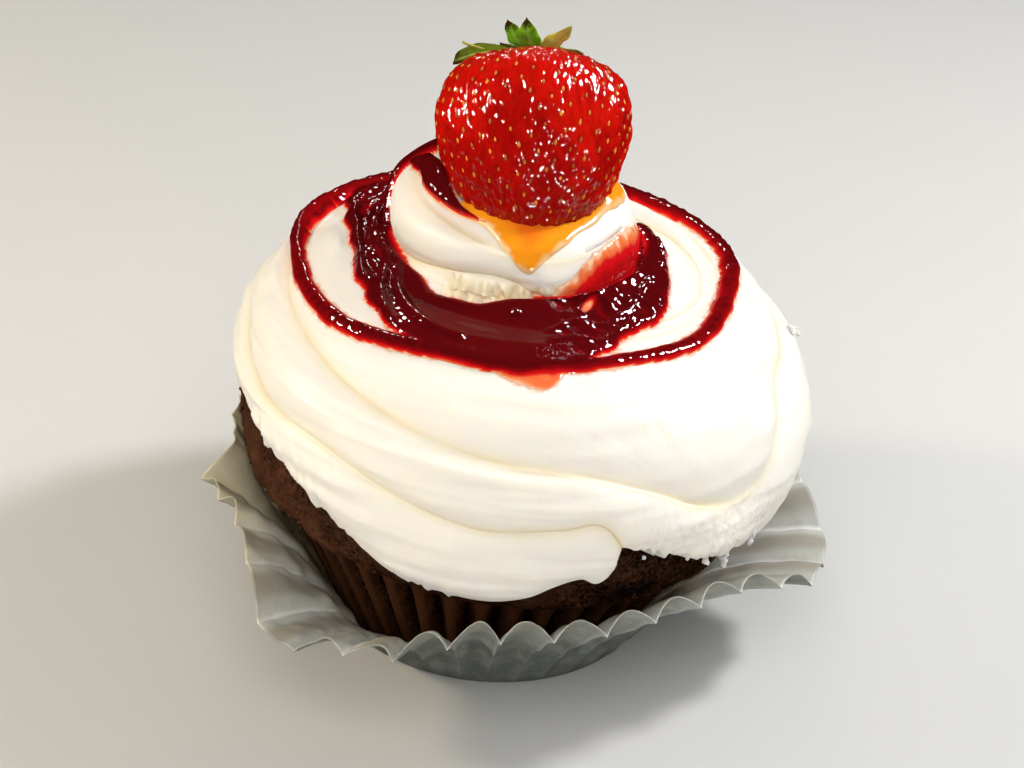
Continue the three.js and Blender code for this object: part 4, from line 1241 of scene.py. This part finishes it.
def leaves_mesh(thickness):
    """Sepals that grow from the top of the berry. Along a sepal the half width is a root and
    a power of its share, so that it is broad near its foot and pointed at its tip; it rises with
    the cube of the share, is folded up along its rib, and its edges wave."""
    seat = (1 - BERRY_MIDDLE) * BERRY_LENGTH + 0.4
    along = np.linspace(0, 1, 25)[:, None]
    across = np.linspace(-1, 1, 13)
    points, faces, dry, tip, vein = [], [], [], [], []
    for number, (around, reach, broad, curl, lifted, blunt, dryness) in enumerate(SEPALS):
        width = broad * 1.4 * (along + 0.03) ** 0.45 * (1 - along ** blunt) ** 0.75
        radial = mix(0.6, reach, along) + 0 * across
        sideways = width * across * (1 + 0.06 * np.sin(along * 22 + number))
        bend = 0.05 * reach * np.sin(along * 3 + number)
        fold = 0.28 * width * np.abs(across) ** 1.3
        wave = 0.12 * np.sin(along * 14 + across * 3 + number * 1.7) * np.abs(across)
        upward = seat + curl * along ** 3 + fold + wave * ease(along * 3) + lifted * sideways
        lower = np.stack([radial, sideways + bend, upward], axis=-1)
        upper = lower + thickness * (1 - 0.6 * across[:, None] ** 2) * [0, 0, 1]
        turn = np.array(Matrix.Rotation(around * DEG, 3, "Z"))
        start = sum(len(part) for part in points)
        size = upper[..., 0].size
        points += [upper.reshape(-1, 3) @ turn.T, lower.reshape(-1, 3) @ turn.T]
        ids = np.arange(size).reshape(upper.shape[:2]) + start
        top = grid_faces(ids, flip=True)
        edge = np.concatenate([ids[0, :], ids[1:, -1], ids[-1, -2::-1], ids[-2:0:-1, 0]])
        onward = np.roll(edge, -1)
        wall = np.stack([edge, onward, onward + size, edge + size], axis=1)
        faces += [top, top[:, ::-1] + size, wall]
        for values, value in ((dry, dryness + 0 * (along + across)), (tip, along + 0 * across),
                              (vein, np.abs(across) + 0 * along)):
            values += [value.ravel(), value.ravel()]
    marks = {"dry": np.concatenate(dry), "tip": np.concatenate(tip), "vein": np.concatenate(vein)}
    return make_mesh("calyx", placed(np.concatenate(points)), np.concatenate(faces), marks)


def strawberry_leaf(colours):
    """Strawberry calyx a day after picking: waxy green with a pale rib, turning olive-tan where
    it dries, and dark brown at its withered tips."""
    material, add, place, dry, tip, vein = new_material("strawberry_leaf", "dry", "tip", "vein")
    mottle = add("TexNoise", place, per(1.6), 3, 0.6)
    ragged = add("Math", tip, add("MapRange", mottle, 0.2, 0.8, -0.12, 0.12), operation="ADD")
    withered = add("MapRange", ragged, 0.8, 0.97)
    withered = add("Math", withered, add("MapRange", dry, 0.5, 0.95, 1, 0.3))
    colour = tinted(add, colours.leaf, ("#5c8c1e", mottle, 0.3, 0.7), ("#56601a", dry, 0, 0.5),
                    (colours.leaf_dry, dry, 0.5, 1), ("#a4b858", vein, 0.22, 0.05, 0, 0.5))
    return finish_material(material, add, add("Mix", withered, colour, colours.leaf_tip), 0.5,
                           (mottle, 0.3, 0.5), IOR=1.45, Subsurface_Weight=0.4,
                           Subsurface_Radius=(0.6, 1, 0.2), Subsurface_Scale=0.8 * MM,
                           Specular_IOR_Level=0)


# ---------------------------------------------------------------- stage

LIGHTS = [
    # place, size, power and colour of the soft lights that light the cupcake, of the fill, which
    # isn't mirrored in its surfaces, and of the sparkles, which are only mirrored in them
    ("window", (0.37, 0.15, 0.44), 0.085, 2.2, (0.98, 0.99, 1)),
    ("lamp", (-0.46, -0.04, 0.3), 0.075, 1.2, (1, 0.84, 0.58)),
    ("fill", (-0.02, -0.46, 0.5), 0.5, 2.35, (1, 0.98, 0.95)),
    ("sparkle_back", (-0.1, 0.45, 0.45), 0.07, 2, (1, 0.95, 0.9)),
    ("sparkle_left", (-0.42, -0.1, 0.24), 0.1, 8, (1, 0.9, 0.85)),
    ("sparkle_right", (0.34, 0.08, 0.36), 0.13, 14, (1, 0.92, 0.95)),
    ("sparkle_front", (0.18, -0.4, 0.07), 0.045, 2, (1, 0.94, 0.9)),
]
LIGHTS_AIM = (0, 0, 0.045)


def studio_floor(colours):
    """Matte pale board: plain, very slightly mottled."""
    material, add, place = new_material("studio_floor")
    tone = add("TexNoise", place, per(60), 2)
    colour = add("Mix", tone, colours.floor, tuple(c * 0.96 for c in colours.floor))
    return finish_material(material, add, colour, 0.85, Specular_IOR_Level=0.2)


def add_light(name, place, size, power, colour):
    """A square soft light that faces the cupcake."""
    light = bpy.data.lights.new(name, "AREA")
    light.size = size
    light.energy = power
    light.color = colour
    obj = bpy.data.objects.new(name, light)
    obj.location = place
    obj.visible_glossy = name != "fill"
    obj.visible_diffuse = not name.startswith("sparkle")
    obj.rotation_euler = (Vector(LIGHTS_AIM) - Vector(place)).to_track_quat("-Z", "Y").to_euler()
    bpy.context.scene.collection.objects.link(obj)


def add_camera():
    """A camera that looks down at the front, rolled a little."""
    camera = bpy.data.cameras.new("camera")
    camera.lens = CAMERA_LENS
    camera.sensor_width = 36
    camera.clip_start = 0.01
    obj = bpy.data.objects.new("camera", camera)
    back = (Vector(CAMERA_PLACE) - Vector(CAMERA_AIM)).normalized()
    level = Vector((0, 0, 1)).cross(back).normalized()
    rise = back.cross(level)
    roll = CAMERA_ROLL * DEG
    right = math.cos(roll) * level + math.sin(roll) * rise
    up = math.cos(roll) * rise - math.sin(roll) * level
    turned = Matrix((right, up, back)).transposed().to_4x4()
    obj.matrix_world = Matrix.Translation(CAMERA_PLACE) @ turned
    bpy.context.scene.collection.objects.link(obj)
    bpy.context.scene.camera = obj


# ---------------------------------------------------------------- operators

def settings(context):
    """The scene's sizes, in metres, and colours."""
    return context.scene.cupcake_sizes, context.scene.cupcake_colours


class CUPCAKE_OT_paper_case(bpy.types.Operator):
    """Fold the pleated paper case"""
    bl_idname = "cupcake.paper_case"
    bl_label = "Paper case"

    def execute(self, context):
        sizes, colours = settings(context)
        mesh = paper_mesh(sizes.paper / MM)
        add_piece("paper_case_sheet", mesh, greaseproof_paper(colours), ["paper_case"])
        return {"FINISHED"}


class CUPCAKE_OT_cake(bpy.types.Operator):
    """Bake the fluted sponge and scatter its crumbs"""
    bl_idname = "cupcake.cake"
    bl_label = "Cake and crumbs"

    def execute(self, context):
        sizes, colours = settings(context)
        sponge = chocolate_sponge(colours)
        add_piece("cake_sponge", cake_mesh(sizes.crumb / MM), sponge, ["cake"])
        add_piece("crumbs", sponge_crumbs(sizes.crumbs), sponge)
        return {"FINISHED"}


class CUPCAKE_OT_icing(bpy.types.Operator):
    """Pipe the spiral of icing"""
    bl_idname = "cupcake.icing"
    bl_label = "Icing"

    def execute(self, context):
        sizes, colours = settings(context)
        mesh = icing_mesh(sizes.icing_wave / MM, sizes.edge_teeth / MM)
        cream = buttercream(colours)
        add_piece("icing_spiral", mesh, cream, ["icing"])
        add_piece("icing_flecks", icing_crumbs(sizes.flecks), cream)
        return {"FINISHED"}


class CUPCAKE_OT_sauce(bpy.types.Operator):
    """Pour the berry sauce and the syrup over the icing"""
    bl_idname = "cupcake.sauce"
    bl_label = "Sauce and syrup"

    def execute(self, context):
        sizes, colours = settings(context)
        sauce = sauce_mesh(sizes.sauce_wrinkle / MM)
        add_piece("berry_sauce", sauce, berry_sauce(colours), ["icing"])
        add_piece("syrup", syrup_mesh(), berry_syrup(colours))
        return {"FINISHED"}


class CUPCAKE_OT_strawberry(bpy.types.Operator):
    """Set the strawberry with its seeds and leaves"""
    bl_idname = "cupcake.strawberry"
    bl_label = "Strawberry"

    def execute(self, context):
        sizes, colours = settings(context)
        seeds = seed_places(sizes.seeds)
        dimple = sizes.dimple / MM
        skin = berry_mesh(dimple, seeds)
        add_piece("strawberry_flesh", skin, strawberry_skin(colours), ["strawberry"])
        drops = seeds_mesh(sizes.seed / MM, seeds, dimple)
        add_piece("seeds", drops, strawberry_seed(colours))
        leaves = leaves_mesh(sizes.leaf / MM)
        add_piece("leaves", leaves, strawberry_leaf(colours), ["calyx"])
        return {"FINISHED"}


class CUPCAKE_OT_stage(bpy.types.Operator):
    """Set the floor, the soft lights and the camera"""
    bl_idname = "cupcake.stage"
    bl_label = "Stage"

    def execute(self, context):
        colours = settings(context)[1]
        corners = 3000 * np.array([[-1, -1, 0], [1, -1, 0], [1, 1, 0], [-1, 1, 0]])
        mesh = make_mesh("floor", corners, np.array([[0, 1, 2, 3]]))
        mesh.materials.append(studio_floor(colours))
        floor = bpy.data.objects.new("floor", mesh)
        context.scene.collection.objects.link(floor)
        floor.visible_glossy = False
        for light in LIGHTS:
            add_light(*light)
        world = bpy.data.worlds.new("studio")
        world.use_nodes = True
        sky = world.node_tree.nodes["Background"].inputs
        sky["Color"].default_value = (0.82, 0.86, 0.92, 1)
        sky["Strength"].default_value = 0.3
        world.cycles_visibility.glossy = False
        context.scene.world = world
        context.scene.view_settings.view_transform = "Standard"
        context.scene.view_settings.look = "None"
        add_camera()
        return {"FINISHED"}


class CUPCAKE_PT_panel(bpy.types.Panel):
    """The cupcake's pieces, sizes and colours"""
    bl_label = "Cupcake"
    bl_space_type = "VIEW_3D"
    bl_region_type = "UI"
    bl_category = "Cupcake"

    def draw(self, context):
        for operator in OPERATORS:
            self.layout.operator(operator.bl_idname)
        for group in settings(context):
            box = self.layout.box()
            for name in group.__annotations__:
                box.prop(group, name)


OPERATORS = [CUPCAKE_OT_paper_case, CUPCAKE_OT_cake, CUPCAKE_OT_icing, CUPCAKE_OT_sauce,
             CUPCAKE_OT_strawberry, CUPCAKE_OT_stage]
CLASSES = [CupcakeSizes, CupcakeColours, *OPERATORS, CUPCAKE_PT_panel]


def register():
    for cls in CLASSES:
        bpy.utils.register_class(cls)
    bpy.types.Scene.cupcake_sizes = PointerProperty(type=CupcakeSizes)
    bpy.types.Scene.cupcake_colours = PointerProperty(type=CupcakeColours)


def unregister():
    del bpy.types.Scene.cupcake_colours
    del bpy.types.Scene.cupcake_sizes
    for cls in reversed(CLASSES):
        bpy.utils.unregister_class(cls)


def main():
    """Builds every piece in order."""
    register()
    bpy.ops.cupcake.paper_case()
    bpy.ops.cupcake.cake()
    bpy.ops.cupcake.icing()
    bpy.ops.cupcake.sauce()
    bpy.ops.cupcake.strawberry()
    bpy.ops.cupcake.stage()


if __name__ == "__main__":
    main()
